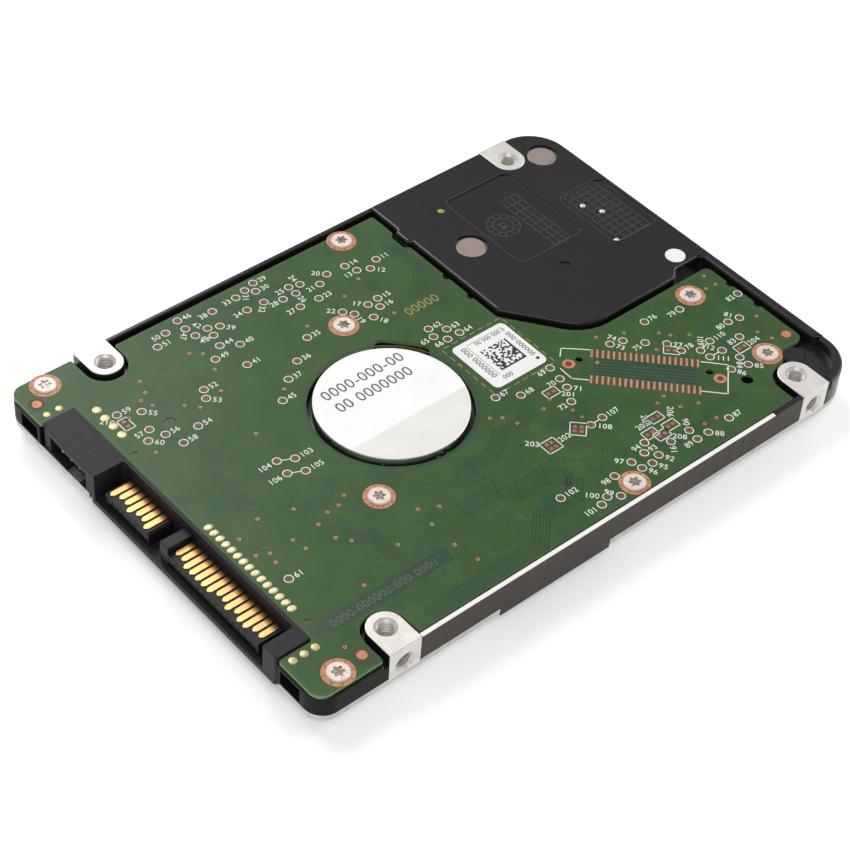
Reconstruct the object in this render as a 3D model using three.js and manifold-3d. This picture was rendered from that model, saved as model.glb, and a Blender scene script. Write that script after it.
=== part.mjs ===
// A 2.5-inch hard disk drive, 7 mm high, in millimetres.
// The circuit board faces +Z and the cover rests on z = 0. The connector end is at -Y.
import * as THREE from "three";
import { mergeVertices } from "three/addons/utils/BufferGeometryUtils.js";
import Module from "manifold-3d";

const wasm = await Module();
wasm.setup();

// ---------------------------------------------------------------- driving dimensions
const WIDTH = 69.85;
const LENGTH = 100.2;
const HEIGHT = 7.0;
const HALF_W = WIDTH / 2;
const HALF_L = LENGTH / 2;

const HOLE_X = 30.86; // mounting hole pattern, 61.72 by 76.6
const HOLE_NEAR_Y = -36.1;
const HOLE_FAR_Y = 40.5;
const SIDE_HOLE_Z = 4.0;
const MOUNT_HOLE_R = 1.3;
const BOSS_R = 2.65;

const CAST_BOTTOM = 1.95; // lower rim of the casting, against the cover flange
const DECK_TOP = 6.9; // bare deck beside the board
const DECK_UNDER = 6.1;
const FLOOR_TOP = 4.8; // floor under the board
const FLOOR_UNDER = 4.2;

const BOARD_BOTTOM = 5.7;
const BOARD_TOP = 6.3;
const BOARD_SCREWS = [
  [-32.45, -45.1],
  [32.45, -45.1],
  [12.4, -21.8],
  [-16.9, -4.1],
  [-31.8, 7.5],
  [31.7, 7.4],
  [9.1, 41.1],
  [24.9, 41.0],
];

const COVER_SHEET = 0.5;
const PAN_BOTTOM = 0.1;
const FLANGE_BOTTOM = 1.0;
const COVER_SCREWS = [
  [-31.6, -43.0],
  [31.6, -43.0],
  [-32.4, 12.4],
  [32.4, 12.4],
  [-31.4, 46.0],
  [31.4, 46.0],
];

const SPINDLE_Y = -9.25;
const PLATTER_R = 32.5;
const PLATTER_BORE_R = 10.0;
const PLATTER_BOTTOM = 2.0;
const PLATTER_TOP = 2.8;
const CAVITY_R = 33.2;
const MOTOR_R = 11.2; // motor cup outside the floor
const MOTOR_NECK_R = 10.85; // motor cup where it passes the floor
const SHAFT_R = 1.25;

const PIVOT_X = -18.6;
const PIVOT_Y = 22.0;
const PIVOT_R = 1.2;
const ARM_BOTTOM = 1.15;
const ARM_TOP = 3.65;
const ARM_SHEET = 0.4;
const HEAD_REACH = 33.0; // pivot axis to read-write head
const COIL_ANGLE = 125; // direction of the coil seen from the pivot, heads parked
const COIL_PLANE = [2.75, 3.65];

const SATA_HALF_W = 26.2;
const SATA_BACK_Y = -44.5;
const SATA_FRONT_Y = -50.0;
const SATA_PITCH = 1.27;
const TONGUE_TOP = 4.28;
const SIGNAL_FIRST_X = -11.2;
const SIGNAL_PINS = 7;
const POWER_FIRST_X = 2.8;
const POWER_PINS = 15;

const SERVO_SEAL = [-28.5, 45.6];
const BREATHER_HOLE = [1.7, 45.2];
const HEADER_X = [8.2, 15.8]; // flex connector through the floor
const HEADER_Y = [34.4, 37.4];
const LATCH_X = 3.0; // inertia latch pin, from the pivot axis
const LATCH_Y = 20.2;

const FIT = 0.05; // clearance between assembled parts

// Sides of the round shapes, by size.
const FINE = 48;
const ROUND = 32;
const SMALL = 12;

// ---------------------------------------------------------------- shape helpers
const radians = THREE.MathUtils.degToRad;

function solid(geometry) {
  const bare = geometry.clone();
  bare.deleteAttribute("normal");
  bare.deleteAttribute("uv");
  const merged = mergeVertices(bare, 1e-5);
  const index = merged.index.array;
  const kept = [];
  for (let i = 0; i < index.length; i += 3) {
    const [a, b, c] = [index[i], index[i + 1], index[i + 2]];
    if (a !== b && b !== c && a !== c) kept.push(a, b, c);
  }
  return new wasm.Manifold(new wasm.Mesh({
    numProp: 3,
    vertProperties: Float32Array.from(merged.attributes.position.array),
    triVerts: Uint32Array.from(kept),
  }));
}

function surface(manifold) {
  const mesh = manifold.getMesh();
  const geometry = new THREE.BufferGeometry();
  geometry.setAttribute("position", new THREE.BufferAttribute(mesh.vertProperties, 3));
  geometry.setIndex(new THREE.BufferAttribute(mesh.triVerts, 1));
  geometry.computeVertexNormals();
  return geometry;
}

function join(first, ...others) {
  return surface(others.reduce((whole, next) => whole.add(solid(next)), solid(first)));
}

function cut(body, ...tools) {
  return surface(tools.reduce((whole, next) => whole.subtract(solid(next)), solid(body)));
}

function common(first, second) {
  return surface(solid(first).intersect(solid(second)));
}

// A closed outline from corners [x, y, fillet radius], with each fillet as a short arc.
function outline(corners, quarterSteps = 2) {
  const points = [];
  corners.forEach(([x, y, radius = 0], i) => {
    const corner = new THREE.Vector2(x, y);
    if (radius === 0) {
      points.push(corner);
      return;
    }
    const [px, py] = corners[(i + corners.length - 1) % corners.length];
    const [nx, ny] = corners[(i + 1) % corners.length];
    const back = new THREE.Vector2(px - x, py - y).normalize();
    const ahead = new THREE.Vector2(nx - x, ny - y).normalize();
    const half = Math.acos(THREE.MathUtils.clamp(back.dot(ahead), -1, 1)) / 2;
    const centre = back.clone().add(ahead).setLength(radius / Math.sin(half)).add(corner);
    const tangent = radius / Math.tan(half);
    const start = back.clone().multiplyScalar(tangent).add(corner).sub(centre).angle();
    const end = ahead.clone().multiplyScalar(tangent).add(corner).sub(centre).angle();
    let sweep = end - start;
    if (sweep > Math.PI) sweep -= 2 * Math.PI;
    if (sweep < -Math.PI) sweep += 2 * Math.PI;
    const steps = Math.max(1, Math.ceil((Math.abs(sweep) / (Math.PI / 2)) * quarterSteps));
    for (let k = 0; k <= steps; k += 1) {
      const angle = start + (sweep * k) / steps;
      points.push(new THREE.Vector2(radius * Math.cos(angle), radius * Math.sin(angle)).add(centre));
    }
  });
  return points;
}

function plate(points, z0, z1) {
  const shape = new THREE.Shape(points);
  const geometry = new THREE.ExtrudeGeometry(shape, { depth: z1 - z0, bevelEnabled: false });
  return geometry.translate(0, 0, z0);
}

function block(x0, x1, y0, y1, z0, z1) {
  const geometry = new THREE.BoxGeometry(x1 - x0, y1 - y0, z1 - z0);
  return geometry.translate((x0 + x1) / 2, (y0 + y1) / 2, (z0 + z1) / 2);
}

function roundedBlock(x0, x1, y0, y1, z0, z1, radius) {
  return plate(outline([[x0, y0, radius], [x1, y0, radius], [x1, y1, radius], [x0, y1, radius]]), z0, z1);
}

// A body of revolution about Z; the profile [radius, z] closes on itself or on the axis.
function revolve(profile, segments, x = 0, y = 0) {
  const points = profile.map(([r, z]) => new THREE.Vector2(r, z));
  return new THREE.LatheGeometry(points, segments).rotateX(Math.PI / 2).translate(x, y, 0);
}

function disc(radius, z0, z1, x = 0, y = 0, segments = SMALL) {
  return revolve([[0, z0], [radius, z0], [radius, z1], [0, z1]], segments, x, y);
}

function ring(inner, outer, z0, z1, x = 0, y = 0, segments = SMALL) {
  const profile = [[inner, z0], [outer, z0], [outer, z1], [inner, z1], [inner, z0]];
  return revolve(profile, segments, x, y);
}

function polar(radius, degrees) {
  return [radius * Math.cos(radians(degrees)), radius * Math.sin(radians(degrees))];
}

// A ring sector between two radii and two angles, about the origin.
function sector(inner, outer, from, to, z0, z1, steps = 6) {
  const points = [];
  for (let k = 0; k <= steps; k += 1) {
    points.push(new THREE.Vector2(...polar(outer, from + ((to - from) * k) / steps)));
  }
  for (let k = steps; k >= 0; k -= 1) {
    points.push(new THREE.Vector2(...polar(inner, from + ((to - from) * k) / steps)));
  }
  return plate(points, z0, z1);
}

function finish(color, roughness, metalness) {
  return new THREE.MeshStandardMaterial({ color, roughness, metalness });
}

const finishes = {
  casting: finish(0x3e3c3c, 0.45, 0.3),
  bareMetal: finish(0xd8d6d2, 0.35, 0.9),
  coverSheet: finish(0xc9c9c8, 0.3, 0.9),
  rubber: finish(0x1c1c1d, 0.85, 0),
  paper: finish(0xf1f1ee, 0.6, 0),
  foil: finish(0x96908a, 0.45, 0.4),
  board: finish(0x4a6a42, 0.4, 0),
  plastic: finish(0x3c3c42, 0.5, 0),
  whitePlastic: finish(0xe6e0d0, 0.5, 0),
  gold: finish(0xf2cb82, 0.3, 1),
  screw: finish(0xc7b3aa, 0.3, 0.9),
  chip: finish(0x1d1e20, 0.55, 0),
  copper: finish(0xb8683a, 0.35, 0.9),
  steel: finish(0xaeb0b3, 0.3, 1),
  laminate: finish(0x8b8e92, 0.45, 0.9),
  magnet: finish(0xb4b6ba, 0.25, 1),
  mirror: finish(0xdfe1e4, 0.08, 1),
  polyimide: finish(0xc4882c, 0.45, 0),
  filter: finish(0xeeeeea, 0.95, 0),
  slider: finish(0x2b2b2e, 0.3, 0.2),
};

const drive = new THREE.Group();
drive.name = "hard_disk_drive";

const spindle = new THREE.Group();
spindle.position.set(0, SPINDLE_Y, 0);
drive.add(spindle);

const actuator = new THREE.Group();
actuator.position.set(PIVOT_X, PIVOT_Y, 0);
drive.add(actuator);

function add(name, geometry, material, parent = drive) {
  const mesh = new THREE.Mesh(geometry, material);
  mesh.name = name;
  parent.add(mesh);
  return mesh;
}

// ---------------------------------------------------------------- shared outlines
const caseOutline = [
  [-HALF_W, -HALF_L, 3],
  [HALF_W, -HALF_L, 3],
  [HALF_W, HALF_L, 6.5],
  [-HALF_W, HALF_L, 6.5],
];

// The board, counter-clockwise from its left connector-end tab.
const BOARD_RIGHT = 33.9;
const BOARD_LEFT = -33.4;
const TAB_X = 34.5;
const TAB_TOP_Y = -39.4;
const NOTCH_R = 3.3; // board clearance round each boss
const BOARD_FRONT_Y = -49.85;
const BOARD_LEFT_END_Y = 14.9;
const BOARD_FAR_Y = 47.8;
const DECK_EDGE_X = 6.0;

function boardCorners(grow) {
  const notch = HOLE_X - NOTCH_R + grow;
  return [
    [-TAB_X - grow, BOARD_FRONT_Y - grow, 2],
    [-SATA_HALF_W - 0.2 + grow, BOARD_FRONT_Y - grow, 0],
    [-SATA_HALF_W - 0.2 + grow, SATA_BACK_Y + 0.1 - grow, 0.5],
    [SATA_HALF_W + 0.2 - grow, SATA_BACK_Y + 0.1 - grow, 0.5],
    [SATA_HALF_W + 0.2 - grow, BOARD_FRONT_Y - grow, 0],
    [TAB_X + grow, BOARD_FRONT_Y - grow, 2],
    [TAB_X + grow, TAB_TOP_Y + grow, 0],
    [notch, TAB_TOP_Y + grow, NOTCH_R - grow],
    [notch, HOLE_NEAR_Y + NOTCH_R - grow, NOTCH_R - grow],
    [BOARD_RIGHT + grow, HOLE_NEAR_Y + NOTCH_R - grow, 0.3],
    [BOARD_RIGHT + grow, HOLE_FAR_Y - NOTCH_R + grow, 0.3],
    [notch + 0.1, HOLE_FAR_Y - NOTCH_R + grow, NOTCH_R - grow],
    [notch + 0.1, 41.4 + grow, 0.5],
    [25.75 + grow, 43.4 + grow, 0.5],
    [25.75 + grow, BOARD_FAR_Y + grow, 1.3],
    [DECK_EDGE_X - grow, BOARD_FAR_Y + grow, 1],
    [DECK_EDGE_X - grow, 23.1 + grow, 8],
    [-4.9 - grow, BOARD_LEFT_END_Y + grow, 1.5],
    [BOARD_LEFT - grow, BOARD_LEFT_END_Y + grow, 0.5],
    [BOARD_LEFT - grow, HOLE_NEAR_Y + NOTCH_R - grow, 0.3],
    [-notch, HOLE_NEAR_Y + NOTCH_R - grow, NOTCH_R - grow],
    [-notch, TAB_TOP_Y + grow, NOTCH_R - grow],
    [-TAB_X - grow, TAB_TOP_Y + grow, 0],
  ];
}

// The room for the disk and the actuator, open to the cover; grow widens it all round.
function chamber(grow, z0, z1) {
  const wide = roundedBlock(-32.6 - grow, 32.6 + grow, 15.6 - grow, 36.4 + grow, z0, z1, 1.5 + grow);
  const far = roundedBlock(-26.9 - grow, 26.9 + grow, 30, 47.2 + grow, z0, z1, 2 + grow);
  return join(disc(CAVITY_R + grow, z0, z1, 0, SPINDLE_Y, FINE), wide, far);
}

const bosses = [
  { side: -1, y: HOLE_NEAR_Y },
  { side: 1, y: HOLE_NEAR_Y },
  { side: -1, y: HOLE_FAR_Y },
  { side: 1, y: HOLE_FAR_Y },
];

function bossBody({ side, y }) {
  const inner = side * (HOLE_X - BOSS_R);
  const outer = side * HALF_W;
  const corners = [
    [inner, y - BOSS_R, BOSS_R - 0.01],
    [outer, y - BOSS_R, 0],
    [outer, y + BOSS_R, 0],
    [inner, y + BOSS_R, BOSS_R - 0.01],
  ];
  return plate(outline(side > 0 ? corners : corners.reverse(), 3), FLOOR_UNDER, HEIGHT);
}

// ---------------------------------------------------------------- base casting
const CONNECTOR_ROOM = SATA_HALF_W + 0.3;
const DISK_WALL_Y = [-19.6, 0.2]; // where the wall is thinnest it reaches down past the flange
const DISK_WALL_IN = 33.95;

function baseCasting() {
  const shell = plate(outline(caseOutline), CAST_BOTTOM, DECK_TOP);
  const boardRoom = plate(outline(boardCorners(0.3)), FLOOR_TOP, HEIGHT + 1);
  const diskRoom = chamber(0, 0, FLOOR_UNDER);
  const actuatorRoom = plate(outline([
    [-32.6, 17.2, 1.5],
    [-5.6, 17.2, 1],
    [3.6, 24.3, 3],
    [3.6, 46.8, 1.5],
    [-26.9, 46.8, 1.5],
    [-26.9, 36.4, 0.6],
    [-32.6, 36.4, 1.5],
  ]), FLOOR_UNDER - 1, DECK_UNDER);
  const cornerShelf = plate(outline([
    [28.0, 43.2, 0.5],
    [34.2, 43.2, 0.5],
    [34.2, 45.4, 0.5],
    [31.6, 49.3, 1],
    [26.3, 49.3, 0.5],
    [26.3, 44.6, 0.5],
  ]), 5.0, HEIGHT + 1);
  let body = cut(
    shell,
    boardRoom,
    diskRoom,
    actuatorRoom,
    cornerShelf,
    block(-CONNECTOR_ROOM, CONNECTOR_ROOM, -HALF_L - 1, SATA_BACK_Y + 0.2, 0, HEIGHT + 1),
    block(-HALF_W - 1, HALF_W + 1, -HALF_L - 1, TAB_TOP_Y + 0.3, BOARD_BOTTOM - 0.1, HEIGHT + 1),
    disc(MOTOR_NECK_R + 0.1, 0, HEIGHT + 1, 0, SPINDLE_Y, ROUND),
    chamber(0.85, 0, CAST_BOTTOM + 0.4),
    block(-31.0, -CONNECTOR_ROOM - 0.6, -HALF_L - 1, -46.6, 2.8, 5.2),
    block(CONNECTOR_ROOM + 0.6, 31.0, -HALF_L - 1, -46.6, 2.8, 5.2),
  );
  const pillars = BOARD_SCREWS.map(([x, y]) => disc(2.2, FLOOR_TOP - 0.3, BOARD_BOTTOM - FIT, x, y));
  const pivotSeat = disc(2.8, 4.6, DECK_UNDER + 0.3, PIVOT_X, PIVOT_Y, 16);
  const latchPin = disc(0.7, 2.3, DECK_UNDER + 0.3, PIVOT_X + LATCH_X, PIVOT_Y + LATCH_Y);
  const cornerPost = disc(1.6, 4.9, 6.6, 27.7, 43.9, 16);
  const walls = [-1, 1].map((side) => {
    const xs = [side * HALF_W, side * DISK_WALL_IN].sort((a, b) => a - b);
    return block(xs[0], xs[1], DISK_WALL_Y[0], DISK_WALL_Y[1], FLANGE_BOTTOM, CAST_BOTTOM + 0.2);
  });
  body = join(body, ...pillars, pivotSeat, latchPin, cornerPost, ...bosses.map(bossBody), ...walls);
  body = common(body, plate(outline(caseOutline), 0, HEIGHT));

  const holes = [];
  for (const { side, y } of bosses) {
    holes.push(revolve([[0, 4.5], [MOUNT_HOLE_R, 4.5], [MOUNT_HOLE_R, 6.7], [1.65, 7.05], [0, 7.05]],
      16, side * HOLE_X, y));
    const sideHole = new THREE.CylinderGeometry(MOUNT_HOLE_R, MOUNT_HOLE_R, 3, 16).rotateZ(Math.PI / 2);
    holes.push(sideHole.translate(side * (HALF_W - 1.1), y, SIDE_HOLE_Z));
  }
  for (const [x, y] of BOARD_SCREWS) holes.push(disc(0.75, 4.82, BOARD_TOP, x, y, 8));
  for (const [x, y] of COVER_SCREWS) holes.push(disc(0.75, 0, 4.0, x, y, 8));
  holes.push(
    disc(PIVOT_R + FIT, 4, 5.6, PIVOT_X, PIVOT_Y, 16),
    disc(2.5, DECK_TOP - 0.2, HEIGHT, PIVOT_X, PIVOT_Y, 20),
    disc(2.5, DECK_TOP - 0.25, HEIGHT, ...SERVO_SEAL, 20),
    disc(0.9, DECK_UNDER - 2, HEIGHT, ...SERVO_SEAL),
    roundedBlock(-29.0, -11.0, 25.3, 38.1, DECK_TOP - 0.25, HEIGHT, 1),
    roundedBlock(-19.1, -5.9, 40.0, 49.2, DECK_TOP - 0.25, HEIGHT, 1),
    disc(0.8, FLOOR_UNDER, HEIGHT, ...BREATHER_HOLE),
    roundedBlock(HEADER_X[0] - FIT, HEADER_X[1] + FIT, HEADER_Y[0] - FIT, HEADER_Y[1] + FIT, 3, 6, 0.3),
  );
  return cut(body, ...holes);
}

add("base_casting", baseCasting(), finishes.casting);

// ---------------------------------------------------------------- cover side
const CONNECTOR_GAP = [-14.8, 26.9]; // the flange stops short behind the connector here

function flangeOutline(z0, z1) {
  const sheet = plate(outline(caseOutline), z0, z1);
  const tools = [
    block(CONNECTOR_GAP[0], CONNECTOR_GAP[1], -HALF_L - 1, SATA_BACK_Y + 0.5, 0, HEIGHT),
  ];
  for (const side of [-1, 1]) {
    const xs = [side * (HALF_W + 1), side * (DISK_WALL_IN - FIT)].sort((a, b) => a - b);
    tools.push(block(xs[0], xs[1], DISK_WALL_Y[0] - 0.1, DISK_WALL_Y[1] + 0.1, 0, HEIGHT));
  }
  return cut(sheet, ...tools);
}

function topCover() {
  const flange = flangeOutline(FLANGE_BOTTOM, CAST_BOTTOM - 0.05);
  const pan = chamber(-0.1, PAN_BOTTOM, FLANGE_BOTTOM + 0.3);
  const hollow = chamber(-0.1 - COVER_SHEET, PAN_BOTTOM + COVER_SHEET, HEIGHT);
  const holes = COVER_SCREWS.map(([x, y]) => disc(0.8, 0, HEIGHT, x, y, 8));
  const breather = disc(0.6, 0, HEIGHT, 21.5, 44.0, 8);
  return cut(join(flange, pan), hollow, breather, ...holes);
}

add("top_cover", topCover(), finishes.coverSheet);

const gasket = cut(chamber(0.75, CAST_BOTTOM - 0.02, CAST_BOTTOM + 0.35), chamber(0.3, 0, HEIGHT));
add("cover_gasket", gasket, finishes.rubber);

const coverLabel = roundedBlock(-27, 27, -36, 33, 0, PAN_BOTTOM - 0.02, 2);
add("cover_label", coverLabel, finishes.paper);

// A pan-head screw along Z: its head rises from the seat by way * height.
function screw(seat, headR, height, tip, shankR, socketR, way) {
  const top = seat + way * height;
  const profile = [[0, tip], [shankR, tip], [shankR, seat], [headR, seat], [headR, top], [0, top]];
  const body = revolve(way > 0 ? profile : profile.reverse(), SMALL);
  const socket = disc(socketR, Math.min(top, top - way * 0.25), Math.max(top, top - way * 0.25), 0, 0, 6);
  return cut(body, socket.translate(0, 0, way * 0.05));
}

COVER_SCREWS.forEach(([x, y], i) => {
  const body = screw(FLANGE_BOTTOM - 0.02, 1.5, 0.55, 3.9, 0.7, 0.6, -1);
  add(`cover_screw_${i + 1}`, body, finishes.screw).position.set(x, y, 0);
});

// ---------------------------------------------------------------- circuit board and connector
function circuitBoard() {
  const sheet = plate(outline(boardCorners(0)), BOARD_BOTTOM, BOARD_TOP);
  const holes = BOARD_SCREWS.map(([x, y]) => disc(0.85, 5, 7, x, y, 8));
  const motorHole = disc(11.9, 5, 7, 0, SPINDLE_Y, FINE);
  const flexNotch = plate(outline([[-12.6, -3.4, 0.5], [-9, -9, 0], [-4, -6, 0], [-6.6, 3.0, 0.5]]), 5, 7);
  return cut(sheet, motorHole, flexNotch, ...holes);
}

add("circuit_board", circuitBoard(), finishes.board);

BOARD_SCREWS.forEach(([x, y], i) => {
  const body = screw(BOARD_TOP + 0.02, 1.65, 0.24, 4.85, 0.7, 0.55, 1);
  add(`board_screw_${i + 1}`, body, finishes.screw).position.set(x, y, 0);
});

function sataHousing() {
  const upper = roundedBlock(-SATA_HALF_W, SATA_HALF_W, SATA_FRONT_Y, SATA_BACK_Y, 2.05, 6.6, 0.4);
  const lower = block(CONNECTOR_GAP[0] + 0.3, 25.9, SATA_FRONT_Y, SATA_BACK_Y, 1.0, 2.5);
  const bay = block(-13.6, 23.4, -51, -45.1, 2.0, 8);
  const shell = cut(join(upper, lower), bay);
  const signalRight = SIGNAL_FIRST_X + (SIGNAL_PINS - 1) * SATA_PITCH;
  const powerRight = POWER_FIRST_X + (POWER_PINS - 1) * SATA_PITCH;
  const tongues = [
    block(SIGNAL_FIRST_X - 0.9, signalRight + 0.9, -49.3, -44.8, 3.05, TONGUE_TOP),
    block(POWER_FIRST_X - 0.9, powerRight + 0.9, -49.3, -44.8, 3.05, TONGUE_TOP),
    block(SIGNAL_FIRST_X - 0.9, SIGNAL_FIRST_X - 0.1, -49.3, -44.8, 2.3, 3.1),
    block(powerRight + 0.1, powerRight + 0.9, -49.3, -44.8, 2.3, 3.1),
    block(POWER_FIRST_X - 2.55, POWER_FIRST_X - 0.75, -49.25, -44.8, 1.9, 5.3),
  ];
  const jumperRoom = block(-24.4, -14.9, -51, -45.6, 2.7, 5.6);
  const leadSlots = [
    block(SIGNAL_FIRST_X - 0.5, signalRight + 0.5, -45.3, -44, TONGUE_TOP, TONGUE_TOP + 0.22),
    block(POWER_FIRST_X - 0.5, powerRight + 0.5, -45.3, -44, TONGUE_TOP, TONGUE_TOP + 0.22),
    block(-22.8, -16.0, -46, -44, 3.9, 4.4),
  ];
  return cut(join(shell, ...tongues), jumperRoom, ...leadSlots);
}

add("sata_connector_housing", sataHousing(), finishes.plastic);

// A comb of contact strips on a common bar, with a tail up to the board's solder pads.
function contactComb(first, count, isLong) {
  const last = first + (count - 1) * SATA_PITCH;
  const z0 = TONGUE_TOP + 0.03;
  const bar = block(first - 0.4, last + 0.4, SATA_BACK_Y + 0.02, SATA_BACK_Y + 0.16, z0, BOARD_BOTTOM - 0.02);
  const strips = Array.from({ length: count }, (_, k) => {
    const x = first + k * SATA_PITCH;
    const tip = isLong(k) ? -48.9 : -48.3;
    return block(x - 0.4, x + 0.4, tip, SATA_BACK_Y + 0.1, z0, z0 + 0.12);
  });
  return join(bar, ...strips);
}

const longSignal = [0, 3, 6];
const longPower = [2, 3, 4, 5, 6, 9, 11, 12];
const signalComb = contactComb(SIGNAL_FIRST_X, SIGNAL_PINS, (k) => longSignal.includes(k));
const powerComb = contactComb(POWER_FIRST_X, POWER_PINS, (k) => longPower.includes(k));
add("sata_signal_contacts", signalComb, finishes.gold);
add("sata_power_contacts", powerComb, finishes.gold);

const jumperBar = block(-22.6, -16.2, SATA_BACK_Y + 0.02, SATA_BACK_Y + 0.16, 3.95, BOARD_BOTTOM - 0.02);
const jumperPins = Array.from({ length: 4 }, (_, k) => {
  const x = -22.4 + k * 2.0;
  return block(x, x + 0.4, -49.4, SATA_BACK_Y + 0.1, 3.95, 4.35);
});
add("jumper_pins", join(jumperBar, ...jumperPins), finishes.gold);

// A label with a raised square of print over the middle of the board.
const boardLabel = roundedBlock(-3.6, 6.6, 4.7, 14.7, BOARD_TOP + 0.01, BOARD_TOP + 0.09, 0.8);
add("board_label", boardLabel, finishes.paper);

// Packages on the hidden face of the board.
const CHIP_TOP = BOARD_BOTTOM - 0.02;
add("controller_chip", roundedBlock(10.2, 21.2, -37.4, -26.4, 4.9, CHIP_TOP, 0.3), finishes.chip);
add("motor_driver_chip", roundedBlock(-25.4, -18.4, 4.4, 11.4, 4.9, CHIP_TOP, 0.3), finishes.chip);

// ---------------------------------------------------------------- deck seals
const PIVOT_SEAL_Z = DECK_TOP - 0.18;
add("pivot_seal", disc(2.3, PIVOT_SEAL_Z, PIVOT_SEAL_Z + 0.1, PIVOT_X, PIVOT_Y, 20), finishes.foil);
add("servo_seal", disc(2.3, DECK_TOP - 0.23, DECK_TOP - 0.13, ...SERVO_SEAL, 20), finishes.foil);
add("breather_seal", disc(1.55, DECK_TOP + 0.01, DECK_TOP + 0.09, ...BREATHER_HOLE, 16), finishes.paper);

// ---------------------------------------------------------------- spindle motor, fixed half
const CUP_TOP = 6.88;
const CUP_WALL = 0.5;
const SLEEVE_R = 2.9;
const cupProfile = [
  [SLEEVE_R + FIT, 3.1],
  [SLEEVE_R + 0.8, 3.1],
  [SLEEVE_R + 0.8, CUP_TOP - CUP_WALL],
  [MOTOR_NECK_R - CUP_WALL, CUP_TOP - CUP_WALL],
  [MOTOR_NECK_R - CUP_WALL, 4.25],
  [MOTOR_NECK_R, 4.25],
  [MOTOR_NECK_R, FLOOR_TOP + FIT],
  [MOTOR_R, FLOOR_TOP + FIT],
  [MOTOR_R, CUP_TOP],
  [0, CUP_TOP],
  [0, CUP_TOP - 0.4],
  [SLEEVE_R + FIT, CUP_TOP - 0.4],
  [SLEEVE_R + FIT, 3.1],
];
const cup = revolve(cupProfile, ROUND, 0, SPINDLE_Y);
add("motor_base", cup, finishes.steel);
const motorLabel = disc(10.9, CUP_TOP + 0.01, CUP_TOP + 0.09, 0, SPINDLE_Y, ROUND);
add("motor_label", motorLabel, finishes.paper);

const sleeve = ring(SHAFT_R + FIT, SLEEVE_R, 3.0, CUP_TOP - 0.45, 0, SPINDLE_Y, 20);
add("bearing_sleeve", sleeve, finishes.copper);

const TEETH = 9;
const CORE_IN = SLEEVE_R + 0.85;
const CORE_OUT = 8.1;
const CORE_Z = [4.6, 5.5];
const WIND_Z = [4.2, 5.9];

function aroundSpindle(makeOne) {
  return Array.from({ length: TEETH }, (_, k) => makeOne().rotateZ((2 * Math.PI * k) / TEETH));
}

function statorCore() {
  const yoke = ring(CORE_IN, CORE_IN + 1.1, ...CORE_Z, 0, 0, 27);
  const spokes = aroundSpindle(() => block(CORE_IN + 0.5, CORE_OUT - 0.2, -0.45, 0.45, ...CORE_Z));
  const shoes = aroundSpindle(() => sector(CORE_OUT - 0.7, CORE_OUT, -16, 16, ...CORE_Z, 2));
  return join(yoke, ...spokes, ...shoes).translate(0, SPINDLE_Y, 0);
}

function statorWindings() {
  const crossover = ring(CORE_IN + 1.3, CORE_IN + 1.6, CORE_Z[1] + 0.06, WIND_Z[1], 0, 0, 27);
  const coils = aroundSpindle(() => block(CORE_IN + 1.3, CORE_OUT - 0.9, -0.95, 0.95, ...WIND_Z));
  const toothRoom = aroundSpindle(() => block(
    CORE_IN,
    CORE_OUT,
    -0.45 - FIT,
    0.45 + FIT,
    CORE_Z[0] - FIT,
    CORE_Z[1] + FIT,
  ));
  return cut(join(crossover, ...coils), ...toothRoom).translate(0, SPINDLE_Y, 0);
}

add("stator_core", statorCore(), finishes.laminate);
add("stator_windings", statorWindings(), finishes.copper);

// Flat lead strip that leaves the motor under the board.
const leadStrip = plate(outline([
  [-13.2, -3.6, 0.8],
  [-10.4, -5.6, 0],
  [-5.4, 0.6, 0],
  [-7.2, 4.0, 0.8],
]), FLOOR_TOP + 0.03, FLOOR_TOP + 0.15);
const leadRoom = disc(MOTOR_R + 0.1, 4, 6, 0, SPINDLE_Y, ROUND);
add("motor_flex", cut(leadStrip, leadRoom), finishes.polyimide);

// ---------------------------------------------------------------- spindle motor, turning half
const HUB_TOP_R = PLATTER_BORE_R - 0.05;
const FLANGE_R = 12.4;
const hubProfile = [
  [SHAFT_R + 0.02, PLATTER_BOTTOM + 0.02],
  [HUB_TOP_R, PLATTER_BOTTOM + 0.02],
  [HUB_TOP_R, PLATTER_TOP + 0.05],
  [FLANGE_R, PLATTER_TOP + 0.05],
  [FLANGE_R, 3.5],
  [HUB_TOP_R, 3.9],
  [HUB_TOP_R, 5.9],
  [9.3, 5.9],
  [9.3, 2.95],
  [SHAFT_R + 0.02, 2.95],
  [SHAFT_R + 0.02, PLATTER_BOTTOM + 0.02],
];
add("spindle_hub", revolve(hubProfile, ROUND), finishes.bareMetal, spindle);

const shaftProfile = [
  [0.6, 2.05],
  [SHAFT_R, 2.05],
  [SHAFT_R, 6.2],
  [0, 6.2],
  [0, 3.6],
  [0.6, 3.6],
  [0.6, 2.05],
];
add("spindle_shaft", revolve(shaftProfile, 16), finishes.steel, spindle);
add("rotor_magnet", ring(8.5, 9.25, 4.0, 5.8, 0, 0, ROUND), finishes.magnet, spindle);
const platter = ring(PLATTER_BORE_R, PLATTER_R, PLATTER_BOTTOM, PLATTER_TOP, 0, 0, 64);
add("platter", platter, finishes.mirror, spindle);

const clampProfile = [
  [0.7, 1.35],
  [9.0, 1.35],
  [12.2, 1.5],
  [12.2, PLATTER_BOTTOM - 0.02],
  [11.0, PLATTER_BOTTOM - 0.02],
  [10.0, PLATTER_BOTTOM - 0.2],
  [0.7, PLATTER_BOTTOM - 0.2],
  [0.7, 1.35],
];
add("disk_clamp", revolve(clampProfile, ROUND), finishes.bareMetal, spindle);
const clampScrew = screw(1.33, 2.0, 0.5, 3.4, 0.55, 0.8, -1);
add("clamp_screw", clampScrew, finishes.screw, spindle);

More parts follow.
